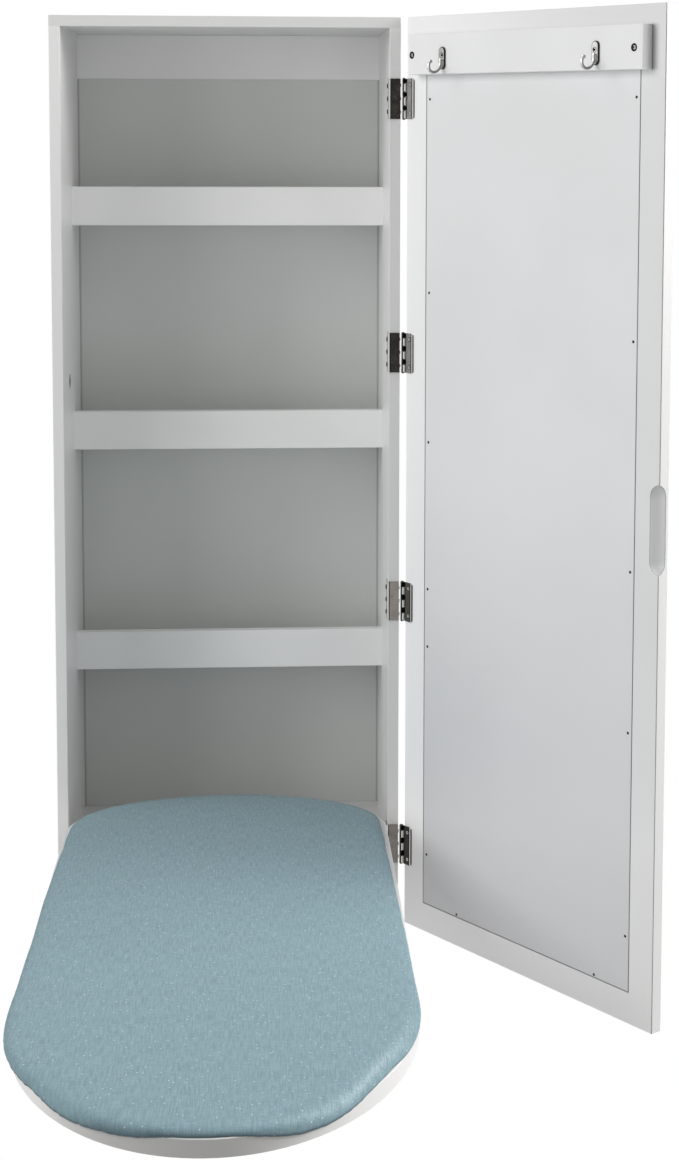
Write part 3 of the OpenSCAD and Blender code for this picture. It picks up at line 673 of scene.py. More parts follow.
@dataclass(frozen=True)
class ScrewHeads(PlatedMetal):
    """Screw heads with a dark cross, a bright ring that is a painted highlight, and a dark rim.

    The heads stand at the corners of a rectangle on the shut door, which may repeat upwards.
    """

    middle: Pair = (0.0, 0.0)
    half: Pair = (0.0, 0.0)
    foot: float = -5.0
    repeat: float = 10.0
    ring: Pair = (0.0007, 0.0015)
    lit: float = -0.0009
    bright: Colour = paint(240, 238, 234)

    def marked(self, bench: Bench, tone: Wire) -> Wire:
        """The painted highlight ring is where the distance from the nearest head's axis lies
        between two radii.

        Args:
            bench: The finish's bench.
            tone: The tone under the marks.

        Returns:
            The tone with its marks.
        """
        along, _, up = bench.from_hinge(DOOR_TURN)
        beside = abs(along - self.middle[0]) - self.half[0]
        above = abs((up - self.foot) % self.repeat - self.middle[1]) - self.half[1]
        reach = (beside * beside + above * above) ** 0.5
        ring = (reach > self.ring[0]) * (reach < self.ring[1]) * (beside > self.lit)
        # Painted highlight ring on the head.
        return bench.blend(ring, tone, self.bright)


@dataclass(frozen=True)
class HookChrome(PlatedMetal):
    """Chrome on a coat hook: a bright middle with dark edges that are painted reflections, on its
    plate and on its prong.

    The line is half the length of the plate's middle line.
    """

    middle: Pair = (-0.1911, -0.0082)
    half_spacing: float = 0.1135
    line: float = 0.0072
    face: float = 0.0145
    plate_rim: Pair = (0.0034, 0.0042)
    prong_rim: Pair = (0.0008, 0.0015)
    edge: Colour = paint(34, 33, 32)

    def marked(self, bench: Bench, tone: Wire) -> Wire:
        """The painted dark reflection: on the plate the edge is by distance from its middle line,
        on the prong by its side.

        Args:
            bench: The finish's bench.
            tone: The tone under the marks.

        Returns:
            The tone with its marks.
        """
        along, depth, up = bench.from_hinge(DOOR_TURN)
        beside = abs(abs(along - self.middle[0]) - self.half_spacing)
        above = (abs(up - self.middle[1]) - self.line).over(0.0)
        rim = ((beside * beside + above * above) ** 0.5).fade(*self.plate_rim)
        prong = depth > self.face
        side = beside.fade(*self.prong_rim) * prong * 0.8 + rim * (1 - prong)
        # Painted dark reflection along the hook's edges.
        return bench.blend(side * 0.92, tone, self.edge)


@dataclass(frozen=True)
class MouldedPlastic(Finish):
    """Moulded nylon or rubber with a fine spark-eroded grain."""

    grain: float = 0.00004
    dulled: float = 0.8

    def look(self, bench: Bench) -> dict[str, object]:
        """Two noises make the grain, and clouds vary the colour a little.

        Args:
            bench: The finish's bench.

        Returns:
            The Principled shader's values and Wires, by socket.
        """
        where = bench.spot()
        grain = bench.noise(where, 2200.0, 3.0, 0.6)
        clouds = bench.noise(where, 60.0, 2.0)
        duller = tuple(self.dulled * level for level in self.colour[:3]) + (1.0,)
        return {
            "Base Color": bench.blend(clouds * 0.4, self.colour, duller),
            "Roughness": (grain - 0.5) * 0.15 + self.roughness,
            "Normal": bench.relief(grain, self.grain, 0.8),
        }


@dataclass(frozen=True)
class PadCloth(Finish):
    """Plain-woven cotton in blue grey, with thicker slubs and pale specks.

    The mesh's own attribute runs from 1, painted shade on the turned-in edge, to -1, painted light
    on a crease.
    """

    shadow: Colour = paint(112, 138, 148)
    speck: Colour = paint(212, 228, 234)
    dim: Colour = paint(131, 163, 163)
    painted_hem_shading: Colour = paint(52, 68, 76)
    painted_crease_light: Colour = paint(204, 222, 230)
    thread: float = 0.00085

    def look(self, bench: Bench) -> dict[str, object]:
        """Threads are two sines across each other on the cloth's own map, in metres.

        The warp and the weft are each drawn out noise, which makes the slubs, and specks are
        the middles of sparse scattered cells, in two sizes.

        Args:
            bench: The finish's bench.

        Returns:
            The Principled shader's values and Wires, by socket.
        """
        cloth = bench.add("ShaderNodeUVMap", {"uv_map": "cloth"})
        across, along, _ = bench.parts(cloth)
        wobble = bench.noise(cloth, 160.0, 2.0) - 0.5
        turns = 2 * math.pi / self.thread
        warp = (across * turns + wobble * 1.5).wave() * 0.5 + 0.5
        weft = (along * turns + wobble * 1.5).wave() * 0.5 + 0.5
        weave = warp * (1 - weft) + weft * (1 - warp)
        up = bench.add("ShaderNodeMapping", {}, {0: cloth, 3: (760.0, 52.0, 1.0)})
        side = bench.add("ShaderNodeMapping", {}, {0: cloth, 3: (90.0, 800.0, 1.0)})
        slubs = bench.noise(up, 1.0, 3.0, 0.65) * 0.62 + bench.noise(side, 1.0, 3.0, 0.65) * 0.38
        clouds = bench.noise(cloth, 26.0, 5.0, 0.65)
        large = bench.cells(cloth, 88.0, "2D").fade(0.075, 0.035)
        large = large * bench.noise(cloth, 41.0, 1.0).fade(0.44, 0.56)
        small = bench.cells(cloth, 300.0, "2D").fade(0.13, 0.06)
        specks = large.over(small * bench.noise(cloth, 75.0, 2.0).fade(0.5, 0.62) * 0.6)
        tone = bench.blend(slubs.fade(0.37, 0.63) * 0.46 + 0.1, self.shadow, self.colour)
        tone = bench.blend(clouds.fade(0.35, 0.7) * 0.26 + 0.04, tone, self.dim)
        tone = bench.blend(weave * 0.12, tone, self.shadow)
        tone = bench.blend(specks * 0.75, tone, self.speck)
        mark = bench.add("ShaderNodeAttribute", {"attribute_name": "painted_hem_shading"}, out="Fac")
        # Painted shade on the turned-in edge and painted light on a crease, from the mesh
        # attribute.
        tone = bench.blend(mark.over(0.0) * 0.76, tone, self.painted_hem_shading)
        tone = bench.blend((0 - mark).over(0.0) * slubs.fade(0.3, 0.6), tone, self.painted_crease_light)
        height = weave * 0.45 + slubs * 0.55 + specks * 0.3
        return {
            "Base Color": tone,
            "Roughness": (slubs - 0.5) * 0.1 + self.roughness,
            "Normal": bench.relief(height, 0.0002, 0.7),
            "Sheen Weight": 0.12,
            "Sheen Roughness": 0.5,
            "Specular IOR Level": 0.2,
        }


WHITE = PanelLacquer("cabinet_lacquer", paint(231, 231, 230), 0.36)
# The rail lacquers are paler copies of the cabinet's and the door's white, as painted light on the
# rails.
RAIL_WHITE = SatinLacquer("rail_lacquer", paint(250, 250, 249), 0.33)
HOOK_WHITE = RailLacquer("hook_rail_lacquer", paint(243, 243, 243), 0.33, turn=DOOR_TURN)
DOOR_WHITE = EdgedLacquer("door_lacquer", paint(231, 231, 231), 0.34, turn=DOOR_TURN)
CORE_WHITE = NoseLacquer("board_core_lacquer", paint(218, 217, 216), 0.42, stipple=0.00006)
BACK = Hardboard("back_hardboard", paint(219, 221, 219), 0.5, bare_from=-0.0062)
BACKING = InsetPanel("door_backing_lacquer", paint(233, 233, 234), 0.4, turn=DOOR_TURN)
MIRROR = Silvering("mirror_silver", paint(238, 241, 240), 0.008)
# For each hinge from the lowest up: the frame leaf's tone and the door leaf's, each painted darker
# or paler for the reflection that hinge shows.
LEAF_TONES = (
    (paint(118, 114, 110), paint(72, 69, 66)), (paint(138, 133, 128), paint(110, 107, 104)),
    (paint(40, 39, 39), paint(186, 185, 183)), (paint(40, 39, 39), paint(186, 185, 183)),
)
LEAVES = {
    leaf: [HingeNickel(f"{leaf.value}_leaf_nickel_{k + 1}", tones[side], 0.3, stained=0.35,
                       leaf=leaf, foot=HINGE_FOOT + HINGE_PITCH * k)
           for k, tones in enumerate(LEAF_TONES)]
    for side, leaf in enumerate(Leaf)
}
PIN_METAL = PlatedMetal("pin_steel", paint(96, 93, 90), 0.3, stained=0.6)
FLANGE_SCREWS = PlatedMetal("flange_screw_nickel", paint(62, 60, 58), 0.34, stained=0.6)
LEAF_SCREWS = ScrewHeads(
    "leaf_screw_nickel", paint(66, 64, 62), 0.3, stained=0.4, middle=(-0.00985, 0.022),
    half=(0.0, 0.0155), foot=HINGE_FOOT, repeat=HINGE_PITCH, ring=(0.0009, 0.0018)
)
HOOK_METAL = HookChrome("hook_chrome", paint(232, 231, 229), 0.16, stained=0.15, brushed=0.00001)
HOOK_SCREWS = ScrewHeads(
    "hook_screw_chrome", paint(30, 29, 28), 0.25, stained=0.2, middle=(-0.1911, 4.995),
    half=(0.1135, 0.0), ring=(0.0012, 0.0021)
)
RAIL_SCREWS = ScrewHeads(
    "rail_screw_zinc", paint(30, 29, 28), 0.3, stained=0.2, middle=(-0.1911, 4.996),
    half=(0.164, 0.0), ring=(0.0006, 0.0017)
)
SCREW_METAL = PlatedMetal("screw_zinc", paint(132, 130, 128), 0.38, stained=0.6)
BRAD_METAL = PlatedMetal("brad_steel", paint(40, 38, 37), 0.45, stained=0.4)
STRIKE_METAL = PlatedMetal("strike_nickel", paint(120, 116, 110), 0.35, stained=0.6)
BRASS = PlatedMetal("catch_brass", paint(196, 160, 92), 0.28, stain=paint(116, 86, 44))
ROD_METAL = PlatedMetal(
    "rod_steel", paint(168, 168, 168), 0.28, stained=0.4, stretch=(5000.0, 300.0, 300.0)
)
NYLON = MouldedPlastic("bush_nylon", paint(226, 224, 216), 0.5)
RUBBER = MouldedPlastic("rest_rubber", paint(42, 42, 44), 0.72, grain=0.00008)
PAD_CLOTH = PadCloth("pad_cloth", paint(162, 186, 197), 0.92)


# ---- new surfaces ----


def put(name: str, data: bpy.types.ID) -> bpy.types.Object:
    """Makes an object of a mesh, a lamp or a camera, and puts it in the scene.

    Args:
        name: The object's name.
        data: The mesh, lamp or camera.

    Returns:
        The object.
    """
    made = bpy.data.objects.new(name, data)
    bpy.context.scene.collection.objects.link(made)
    return made


def grid_mesh(name: str, grid: np.ndarray, cloth: np.ndarray, painted_hem_shading: np.ndarray) -> bpy.types.Object:
    """Makes a piece from a grid of points that closes on itself along its second way.

    Args:
        name: The piece's name.
        grid: Points as rows, columns and three numbers, in metres.
        cloth: Place of each point on the flat cloth, in metres, as rows, columns and two.
        painted_hem_shading: How much painted shade or painted light lies on the cloth at each
            point, as rows and columns.

    Returns:
        The object, with the cloth's map as its UV map and the painted shade and light as its
        attribute.
    """
    rows, columns = grid.shape[:2]
    row, column = np.meshgrid(np.arange(rows - 1), np.arange(columns), indexing="ij")
    after = (column + 1) % columns
    quads = np.stack(
        [row * columns + column, row * columns + after,
         (row + 1) * columns + after, (row + 1) * columns + column], axis=-1
    ).reshape(-1, 4)
    mesh = bpy.data.meshes.new(name)
    mesh.from_pydata(grid.reshape(-1, 3).tolist(), [], quads.tolist())
    mesh.polygons.foreach_set("use_smooth", np.ones(len(quads), bool))
    layer = mesh.uv_layers.new(name="cloth")
    corners = np.zeros(len(mesh.loops), np.int32)
    mesh.loops.foreach_get("vertex_index", corners)
    layer.data.foreach_set("uv", cloth.reshape(-1, 2)[corners].astype(np.float32).ravel())
    marks = mesh.attributes.new(name="painted_hem_shading", type="FLOAT", domain="POINT")
    marks.data.foreach_set("value", painted_hem_shading.astype(np.float32).ravel())
    mesh.update()
    return put(name, mesh)


def weld(piece: bpy.types.Object, reach: float) -> None:
    """Merges a mesh's points that lie within reach of each other, and points its faces outwards.

    Args:
        piece: The object whose mesh is merged.
        reach: The largest gap that is closed, in metres.
    """
    shell = bmesh.new()
    shell.from_mesh(piece.data)
    bmesh.ops.remove_doubles(shell, verts=shell.verts, dist=reach)
    bmesh.ops.recalc_face_normals(shell, faces=shell.faces)
    shell.to_mesh(piece.data)
    shell.free()
    piece.data.update()


def ripple(angle: np.ndarray, waves: list[Triple]) -> np.ndarray:
    """Sums sines: each wave is its count per turn, its phase and its height."""
    return sum(height * np.sin(count * angle + phase) for count, phase, height in waves)


# ---- sub-assemblies ----


def dress(nodes: dict[str, Finish]) -> None:
    """Puts a finish into every material slot of each named CAD node.

    Args:
        nodes: The finish of each node, by the node's name.
    """
    for name, finish in nodes.items():
        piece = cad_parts[name]
        if not piece.material_slots:
            piece.data.materials.append(None)
        for holder in piece.material_slots:
            holder.material = finish.material()
        LOG.info("%s: %s", name, finish.name)


@dataclass
class Carcass:
    """The fixed cabinet: panels, shelves, rails and their fastenings."""

    shelves: int = 3
    hinges: int = 4

    def build(self) -> None:
        """Dresses the cabinet's nodes."""
        panels = ("left_side_panel", "right_side_panel", "top_panel", "bottom_deck", "front_rail",
                  "lower_wall_rail")
        dress({name: WHITE for name in panels})
        dress({f"shelf_{k + 1}": WHITE for k in range(self.shelves)})
        dress({f"shelf_rail_{k + 1}": RAIL_WHITE for k in range(self.shelves)})
        dress({"hanging_rail": RAIL_WHITE, "back_panel": BACK, "catch_strike": STRIKE_METAL})
        dress({name: SCREW_METAL for name in (
            "carcass_screws", "keyhole_plates", "keyhole_plate_screws")})
        dress({"rest_pads": RUBBER, "pivot_bush_left": NYLON, "pivot_bush_right": NYLON})
        dress({f"frame_leaf_{k + 1}": LEAVES[Leaf.FRAME][k] for k in range(self.hinges)})
        dress({"hinge_frame_screws": FLANGE_SCREWS, "hinge_pins": PIN_METAL})


@dataclass
class MirrorDoor:
    """The swinging door with its mirror, its backing panel and the coat hooks."""

    hinges: int = 4

    def build(self) -> None:
        """Dresses the door's nodes."""
        dress({"door_frame": DOOR_WHITE, "hook_rail": HOOK_WHITE, "mirror_glass": MIRROR})
        dress({"door_backing_panel": BACKING, "backing_brads": BRAD_METAL})
        dress({f"door_leaf_{k + 1}": LEAVES[Leaf.DOOR][k] for k in range(self.hinges)})
        dress({"hinge_door_screws": LEAF_SCREWS, "hook_rail_screws": RAIL_SCREWS})
        dress({name: HOOK_METAL for name in ("coat_hook_left", "coat_hook_right")})
        dress({"coat_hook_screws": HOOK_SCREWS})


# The pad's edge round the board, as (station, millimetres). Stations are degrees round the heel
# from its right end, 180 to 280 down the left side, 280 to 460 round the nose and 460 to 560 up
# the right side. OUT is how far the pad stands out of the board, and HANG how far it hangs down
# over the board's face. SOFT is how wide its roll is, GATHERED how much its edge is gathered, and
# PINCHES how far it is drawn in. DARK and PALE are shares of the painted shade on the turned-in
# edge and of the painted light on a crease. GATHERS are waves: the count round the pad, the phase
# and the height. ROUND is the station at which the way round starts again.
OUT = (
    (0, -8.0), (12, -6.6), (20, -5.2), (45, -2.4), (90, -1.6), (135, -2.4), (157, -5.4),
    (172, -6.9), (181, -5.8), (188, -4.4), (194, -4.8), (200, -3.4), (215, -2.2), (228, -1.0),
    (250, -1.6), (258, -0.9), (273, -0.6), (284, 0.7), (290, 2.4), (294, 3.9), (297, 5.0),
    (300, 6.1), (303, 6.8), (306, 6.7), (309, 6.3), (312, 5.5), (315, 4.5), (318, 3.1), (321, 2.2),
    (324, 1.7), (327, 1.8), (330, 2.0), (333, 2.2), (336, 2.5), (339, 2.8), (342, 2.5), (345, 2.2),
    (348, 1.8), (351, 1.6), (354, 1.3), (357, 1.0), (360, 0.2), (363, -0.1), (366, -0.5),
    (369, -0.8), (372, -0.7), (375, -1.1), (378, 0.5), (381, 1.3), (384, 1.9), (387, 2.3),
    (390, 2.4), (393, 2.4), (396, 2.1), (399, 1.9), (402, 1.6), (405, 1.3), (408, 0.5),
    (411, -0.3), (414, 1.5), (417, 0.6), (420, -0.7), (426, -2.2), (431, 0.4), (436, 1.4),
    (441, 1.7), (447, 1.0), (458, -1.2), (468, -1.9), (492, -2.5), (498, -3.5), (503, -3.3),
    (513, -4.2), (526, -5.0), (533, -5.3), (542, -6.6), (548, -6.0), (557, -7.4),
)
HANG = (
    (297, 0.0), (300, 0.0), (303, 0.0), (306, 0.5), (309, 1.7), (312, 1.6), (315, 2.6), (318, 3.1),
    (321, 4.3), (324, 5.9), (327, 7.0), (330, 6.7), (333, 7.4), (336, 6.1), (339, 5.9), (342, 4.2),
    (345, 4.9), (348, 3.8), (351, 3.4), (354, 2.1), (357, 0.8), (360, 0.0), (363, 0.0), (366, 0.0),
    (369, 0.0), (372, 0.0), (375, 0.0), (378, 0.1), (381, 0.9), (384, 2.5), (387, 4.2), (390, 5.7),
    (393, 7.3), (396, 7.4), (399, 7.7), (402, 7.9), (405, 6.6), (408, 6.3), (411, 5.3), (414, 0.3),
    (417, 0.0), (420, 0.0), (423, 0.0),
)
SOFT = ((0, 0.5), (30, 1.0), (90, 1.5), (150, 1.0), (180, 0.5), (230, 0.2), (300, 0.3),
        (345, 0.6), (370, 0.5), (395, 0.6), (440, 0.3), (500, 0.2))
GATHERED = ((290, 0.0), (306, 0.6), (320, 1.0), (345, 0.9), (364, 0.3), (380, 0.3), (400, 0.35),
            (420, 0.0))
DARK = ((0, 0.3), (60, 0.55), (120, 0.55), (180, 0.25), (240, 0.1), (296, 0.15), (306, 0.45),
        (330, 0.4), (338, 0.8), (346, 1.0), (356, 0.95), (366, 0.55), (380, 0.35), (392, 0.3),
        (405, 0.1), (440, 0.05), (520, 0.1))
PALE = ((290, 0.0), (372, 0.0), (388, 0.12), (402, 0.4), (412, 0.5), (426, 0.45), (440, 0.2),
        (452, 0.0))
PINCHES = ((315.5, 0.0), (317.3, 1.5), (319, 0.0), (333.8, 0.0), (335.6, 1.1), (337.4, 0.0))
GATHERS = [(97, 0.4, 0.16), (151, 1.9, 0.18), (223, 0.2, 0.15), (311, 2.6, 0.1)]
ROUND = 560.0


@dataclass
class IroningBoard:
    """The folding board, with its padded cover.

    Sizes are in millimetres in the board's own frame: the origin is on the pivot, -Y runs to the
    nose, and Z stands square to the board. The pad stands a little left of the pivot's middle.
    The foot rings are shares of the foot's size, and points within the weld are made one. The
    last four fields count the points round the pad, its rings over the wall, the points that
    sample each stretch of the outline, and the neighbours on each side in a table's mean.
    """

    left: float = 1.0
    half_width: float = 175.0
    heel_length: float = 115.0
    nose_length: float = 254.5
    heel_middle: float = -104.2
    nose_middle: float = -589.7
    top: float = 39.1
    pad_edge: float = 8.0
    crown: float = 2.4
    swell: float = 0.22
    foot_rings: Pair = (0.02, 0.6)
    weld: float = 0.2
    around: int = 1200
    rings: int = 44
    fine: int = 4000
    smooth: int = 6

    def path(self) -> tuple[np.ndarray, np.ndarray, np.ndarray]:
        """Points spread evenly round the outline.

        The outline is a half ellipse at the heel, a straight side, a half ellipse at the nose and
        the other side. It is sampled finely, and then at equal steps of its length. Stations
        number the way round: degrees on the ellipses, and a hundred on each side.

        Returns:
            The angle at the ellipses' middles, the Y of that middle, and the station.
        """
        bend, side = np.linspace(0, math.pi, self.fine), np.linspace(0, 1, self.fine)
        angle = np.concatenate([bend, math.pi + 0 * bend, bend + math.pi, 2 * math.pi + 0 * bend])
        middle = np.concatenate([
            self.heel_middle + 0 * side,
            self.heel_middle + (self.nose_middle - self.heel_middle) * side,
            self.nose_middle + 0 * side,
            self.nose_middle + (self.heel_middle - self.nose_middle) * side,
        ])
        station = np.concatenate([np.degrees(bend), 180 + 100 * side,
                                  280 + np.degrees(bend), 460 + 100 * side])
        x = self.half_width * np.cos(angle)
        y = middle + self.reach(angle) * np.sin(angle)
        length = np.concatenate([[0], np.cumsum(np.hypot(np.diff(x), np.diff(y)))])
        want = np.linspace(0, length[-1], self.around, endpoint=False)
        return (np.interp(want, length, angle), np.interp(want, length, middle),
                np.interp(want, length, station))

    def reach(self, angle: np.ndarray) -> np.ndarray:
        """Half length of the ellipse that the angle belongs to."""
        return np.where(np.sin(angle) >= 0, self.heel_length, self.nose_length)

    def ring(self, angle: np.ndarray, middle: np.ndarray, grow: np.ndarray, height: np.ndarray,
             share: float = 1.0) -> np.ndarray:
        """One ring of the pad.

        Each point is the ellipse's middle plus the grown half axes times the share, times the
        angle's cosine and sine.

        Args:
            angle: Angle of each column at its ellipse's middle.
            middle: Y of that middle.
            grow: How far each column stands out of the board.
            height: Height of each column over the board.
            share: Size of the ring, from 0 at the middle to 1 at the edge.

        Returns:
            The ring's points.
        """
        x = (self.half_width + grow) * share * np.cos(angle)
        y = middle + (self.reach(angle) + grow) * share * np.sin(angle)
        return np.stack([x, y, np.broadcast_to(height, x.shape)], axis=-1)

    def place(self, points: np.ndarray) -> np.ndarray:
        """Moves points from the board's frame in millimetres to the row frame in metres.

        A point turns by the tilt about X and is then added to the pivot.

        Args:
            points: Points, with their three numbers along the last axis.

        Returns:
            The moved points, in the same order.
        """
        sine, cosine = math.sin(-BOARD_TILT), math.cos(-BOARD_TILT)
        x = points[..., 0] - self.left
        y = points[..., 1] * cosine - points[..., 2] * sine
        z = points[..., 1] * sine + points[..., 2] * cosine
        return (np.stack([x, y, z], axis=-1) + np.array(BOARD_PIVOT)) * MM

    def read(self, table: tuple[Pair, ...], station: np.ndarray) -> np.ndarray:
        """Reads a table of (station, value) all the way round.

        Straight runs join the table's points. Their corners are rounded off by a mean over the
        neighbours on both sides, weighted by a raised cosine.

        Args:
            table: The stations and values.
            station: Station of each column.

        Returns:
            The value at each column.
        """
        places, values = np.array(table).T
        line = np.interp(station, places, values, period=ROUND)
        kernel = np.hanning(2 * self.smooth + 1)
        wide = np.concatenate([line[-self.smooth:], line, line[:self.smooth]])
        return np.convolve(wide, kernel / kernel.sum(), mode="valid")

    def pad(self) -> bpy.types.Object:
        """Makes the pad: a closed skin of rings from the middle of its foot to its crown.

        The wall is a set of rings by growth and height. Where the cover hangs, its edge goes over
        the board's arris and down the board's face. Small gathers run up from the edge and fade
        out on the roll. The top rises to its crown, with slow swells of the filling.

        Returns:
            The pad's object.
        """
        angle, middle, station = self.path()
        out, hang, soft = (self.read(table, station) for table in (OUT, HANG, SOFT))
        turn = station / ROUND * 2 * math.pi
        gathers = ripple(turn, GATHERS) * (0.35 + self.read(GATHERED, station))
        edge = out + gathers * 0.5 - self.read(PINCHES, station)
        low = -hang - gathers * 0.35 * np.clip(hang, 0, 1)
        wraps = np.clip(hang, 0, 1)
        wall = [
            (np.minimum(out - 6.0, -5.0), 0.0 * low),
            (np.minimum(edge - 1.2, 0.35 * wraps - 0.6 * (1 - wraps)), 0.0 * low),
            (np.minimum(edge - 1.0, 0.45 * wraps - 0.5 * (1 - wraps)), low * 0.97),
            (edge - 0.45, low - 0.12 * wraps),
            (edge, low + 0.8),
            (edge + 0.45, low * 0.8 + 2.0),
            (edge + 0.6, low * 0.5 + 3.3),
            (edge + 0.3 - 0.8 * soft, low * 0.28 + 4.6 - 0.4 * soft),
            (edge - 0.5 - 2.2 * soft, low * 0.15 + 5.8 - 0.9 * soft),
            (edge - 1.9 - 4.4 * soft, low * 0.08 + 6.8 - 1.3 * soft),
            (edge - 4.0 - 7.2 * soft, low * 0.04 + 7.45 - 1.3 * soft),
            (edge - 7.0 - 10.5 * soft, low * 0.02 + 7.85 - 1.05 * soft),
            (out - 11.0 - 14.0 * soft, 8.1 - 0.6 * soft),
        ]
        rings = [self.ring(angle, middle, *wall[0], share) for share in self.foot_rings]
        rings += [self.ring(angle, middle, grow, height) for grow, height in wall]
        grow, height = wall[-1]
        for k in range(1, self.rings + 1):
            share = 1 - (k / self.rings) ** 0.85
            rise = self.crown * (1 - share ** 2.2)
            flat = (1 - share) ** 0.5
            z = height * (1 - flat) + (self.pad_edge + 0.2) * flat + rise
            rings.append(self.ring(angle, middle, grow, z, share))
        grid = np.array(rings)
        grid[..., 2] += self.swells(grid) + self.top
        ways = np.linalg.norm(np.diff(grid, axis=0), axis=-1)
        flat_way = np.concatenate([np.zeros((1, self.around)), np.cumsum(ways[::-1], axis=0)])[::-1]
        centre = np.stack([np.zeros_like(middle), middle], axis=-1)
        spread = np.stack([np.cos(angle) * self.half_width, np.sin(angle) * self.reach(angle)], -1)
        spread /= np.linalg.norm(spread, axis=-1, keepdims=True)
        cloth = (centre[None] + spread[None] * flat_way[..., None]) * MM
        piece = grid_mesh("pad_cover", self.place(grid), cloth, self.painted_hem_shading(ways, station))
        weld(piece, self.weld * MM)
        return piece

    def painted_hem_shading(self, ways: np.ndarray, station: np.ndarray) -> np.ndarray:
        """Marks the painted shade on the turned-in edge and the painted light on the crease.

        With s the way up the skin from the lower edge, in millimetres, the edge's line is 1.25
        minus s over 2.2, the roll's shade is DARK times e to the minus square of s over 7.5, and
        the crease is PALE times e to the minus square of (s - 12) over 5.

        Args:
            ways: Distances from each ring to the next.
            station: Station of each column.

        Returns:
            The mark at every point, by ring and column.
        """
        up = np.concatenate([np.zeros((6, self.around)), np.cumsum(ways[5:], axis=0)])
        line = np.clip(1.25 - up / 2.2, 0, 1)
        roll = np.exp(-((up / 7.5) ** 2)) * self.read(DARK, station)
        crease = np.exp(-(((up - 12) / 5) ** 2)) * self.read(PALE, station)
        return np.clip(line + roll, 0, 1) - crease

    def swells(self, grid: np.ndarray) -> np.ndarray:
        """Slow rises of the filling, as sines of the place on the board, on the top face only.

        Args:
            grid: The pad's points, in the board's frame.

        Returns:
            The rise at each point, in millimetres.
        """
        x, y, z = grid[..., 0], grid[..., 1], grid[..., 2]
        slow = np.sin(x / 41 + y / 97 + 0.6) + 0.7 * np.sin(x / 23 - y / 61 + 2.1)
        return self.swell * slow * np.clip((z - 7.5) / 2, 0, 1)

    def build(self) -> None:
        """Makes the pad and dresses the board's nodes."""
        dress({"board_core": CORE_WHITE, "pivot_rod": ROD_METAL, "ball_catch": BRASS})
        dress({name: SCREW_METAL for name in (
            "board_bracket_left", "board_bracket_right", "bracket_screws")})
        pad = self.pad()
        pad.data.materials.append(PAD_CLOTH.material())
        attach(pad, "board")
        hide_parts("ironing_pad")
        LOG.info("pad_cover: %d points", len(pad.data.vertices))


# ---- camera and studio ----


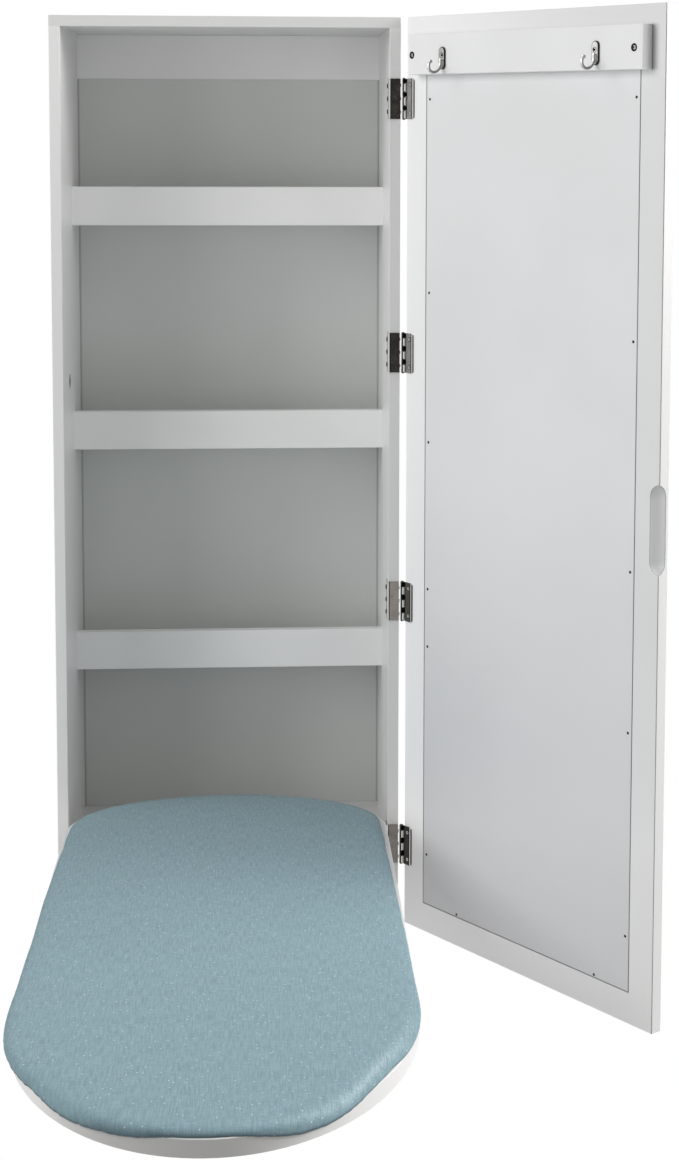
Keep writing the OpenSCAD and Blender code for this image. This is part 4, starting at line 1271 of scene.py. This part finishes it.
@dataclass
class Studio:
    """The camera, the floor and the lights."""

    focal_px: float = 2084.39
    centre_px: Pair = (400.69, 316.40)
    image: tuple[int, int] = (679, 1160)
    stand: Triple = (0.0424, -2.5065, -0.0782)
    yaw: float = 0.0651
    pitch: float = 0.0919
    roll: float = -0.0035
    floor_z: float = -1.73
    floor_half: float = 9.0
    floor_colour: Colour = paint(225, 225, 225)
    ambient: float = 0.31
    aim: Triple = (0.1, -0.2, -0.5)
    lamp_size: float = 1.4

    def camera(self) -> None:
        """Puts the camera at the photograph's viewing angle.

        The view's forward, right and down directions come from the yaw and the pitch, and the
        roll turns the last two about the first.
        """
        cos_yaw, sin_yaw = math.cos(self.yaw), math.sin(self.yaw)
        cos_pitch, sin_pitch = math.cos(self.pitch), math.sin(self.pitch)
        forward = Vector((sin_yaw * cos_pitch, cos_yaw * cos_pitch, -sin_pitch))
        right = Vector((cos_yaw, -sin_yaw, 0.0))
        down = forward.cross(right)
        right, down = (math.cos(self.roll) * right + math.sin(self.roll) * down,
                       math.cos(self.roll) * down - math.sin(self.roll) * right)
        long_side = max(self.image)
        data = bpy.data.cameras.new("view")
        data.sensor_width = 36.0
        data.lens = self.focal_px / long_side * data.sensor_width
        data.shift_x = (self.image[0] / 2 - self.centre_px[0]) / long_side
        data.shift_y = (self.centre_px[1] - self.image[1] / 2) / long_side
        data.clip_start, data.clip_end = 0.05, 50.0
        eye = put("view", data)
        turn = Matrix((right, -down, -forward)).transposed().to_4x4()
        eye.matrix_world = Matrix.Translation(self.stand) @ turn
        bpy.context.scene.camera = eye

    @staticmethod
    def unlit_share(bench: Bench) -> Wire:
        """1 for rays from the camera, from gloss or through glass, and 0 for the others.

        Args:
            bench: Bench of the material or world.

        Returns:
            The share.
        """
        camera = bench.add("ShaderNodeLightPath", out="Is Camera Ray")
        outputs = camera.socket.node.outputs
        glossy = Wire(bench, outputs["Is Glossy Ray"])
        return camera.over(glossy).over(Wire(bench, outputs["Is Transmission Ray"]))

    def floor(self) -> None:
        """A pale floor well below the cabinet, white to the camera."""
        half = self.floor_half
        mesh = bpy.data.meshes.new("floor")
        corners = [(x, y, self.floor_z) for x, y in (
            (-half, -half), (half, -half), (half, half), (-half, half))]
        mesh.from_pydata(corners, [], [(0, 1, 2, 3)])
        put("floor", mesh)
        material = bpy.data.materials.new("floor_white")
        bench = Bench(material)
        matt = bench.add("ShaderNodeBsdfDiffuse", {}, {"Color": self.floor_colour})
        glow = bench.add("ShaderNodeEmission", {}, {"Color": (1, 1, 1, 1), "Strength": 1.0})
        mixed = bench.add("ShaderNodeMixShader", {}, {0: self.unlit_share(bench), 1: matt, 2: glow})
        bench.add("ShaderNodeOutputMaterial", {}, {0: mixed})
        mesh.materials.append(material)

    def sky(self) -> None:
        """Soft light from all round, and white to the camera."""
        world = bpy.data.worlds.new("studio")
        bpy.context.scene.world = world
        bench = Bench(world)
        soft, white = (bench.add("ShaderNodeBackground", {}, {0: (1, 1, 1, 1), 1: strength})
                       for strength in (self.ambient, 1.0))
        share = self.unlit_share(bench)
        mixed = bench.add("ShaderNodeMixShader", {}, {0: share, 1: soft, 2: white})
        bench.add("ShaderNodeOutputWorld", {}, {0: mixed})

    def lamp(self, name: str, place: Triple, power: float) -> None:
        """Hangs a square soft lamp that faces the aim.

        Args:
            name: The lamp's name.
            place: Its middle.
            power: Its power in watts.
        """
        data = bpy.data.lights.new(name, "AREA")
        data.shape, data.size, data.energy = "SQUARE", self.lamp_size, power
        lamp = put(name, data)
        lamp.location = place
        lamp.rotation_mode = "QUATERNION"
        lamp.rotation_quaternion = (Vector(self.aim) - Vector(place)).to_track_quat("-Z", "Y")

    def build(self) -> None:
        """Sets up the camera, the floor, the sky and the lamps."""
        self.camera()
        self.floor()
        self.sky()
        for name, place, power in (
            ("left_high", (-2.2, -1.2, 0.9), 33.0), ("left_low", (-1.9, -1.9, -0.3), 14.0),
            ("right_high", (2.2, -1.2, 0.9), 36.0), ("right_low", (1.9, -1.9, -0.3), 5.0),
            ("right_side", (2.4, -0.5, 0.3), 35.0),
        ):
            self.lamp(name, place, power)
        bpy.context.scene.view_settings.view_transform = "Standard"


def main() -> None:
    """Builds the studio and the sub-assemblies."""
    logging.basicConfig(level=logging.INFO, format="%(name)s %(message)s")
    for part in (Studio(), Carcass(), MirrorDoor(), IroningBoard()):
        part.build()
        LOG.info("built %s", type(part).__name__)


if __name__ == "__main__":
    main()
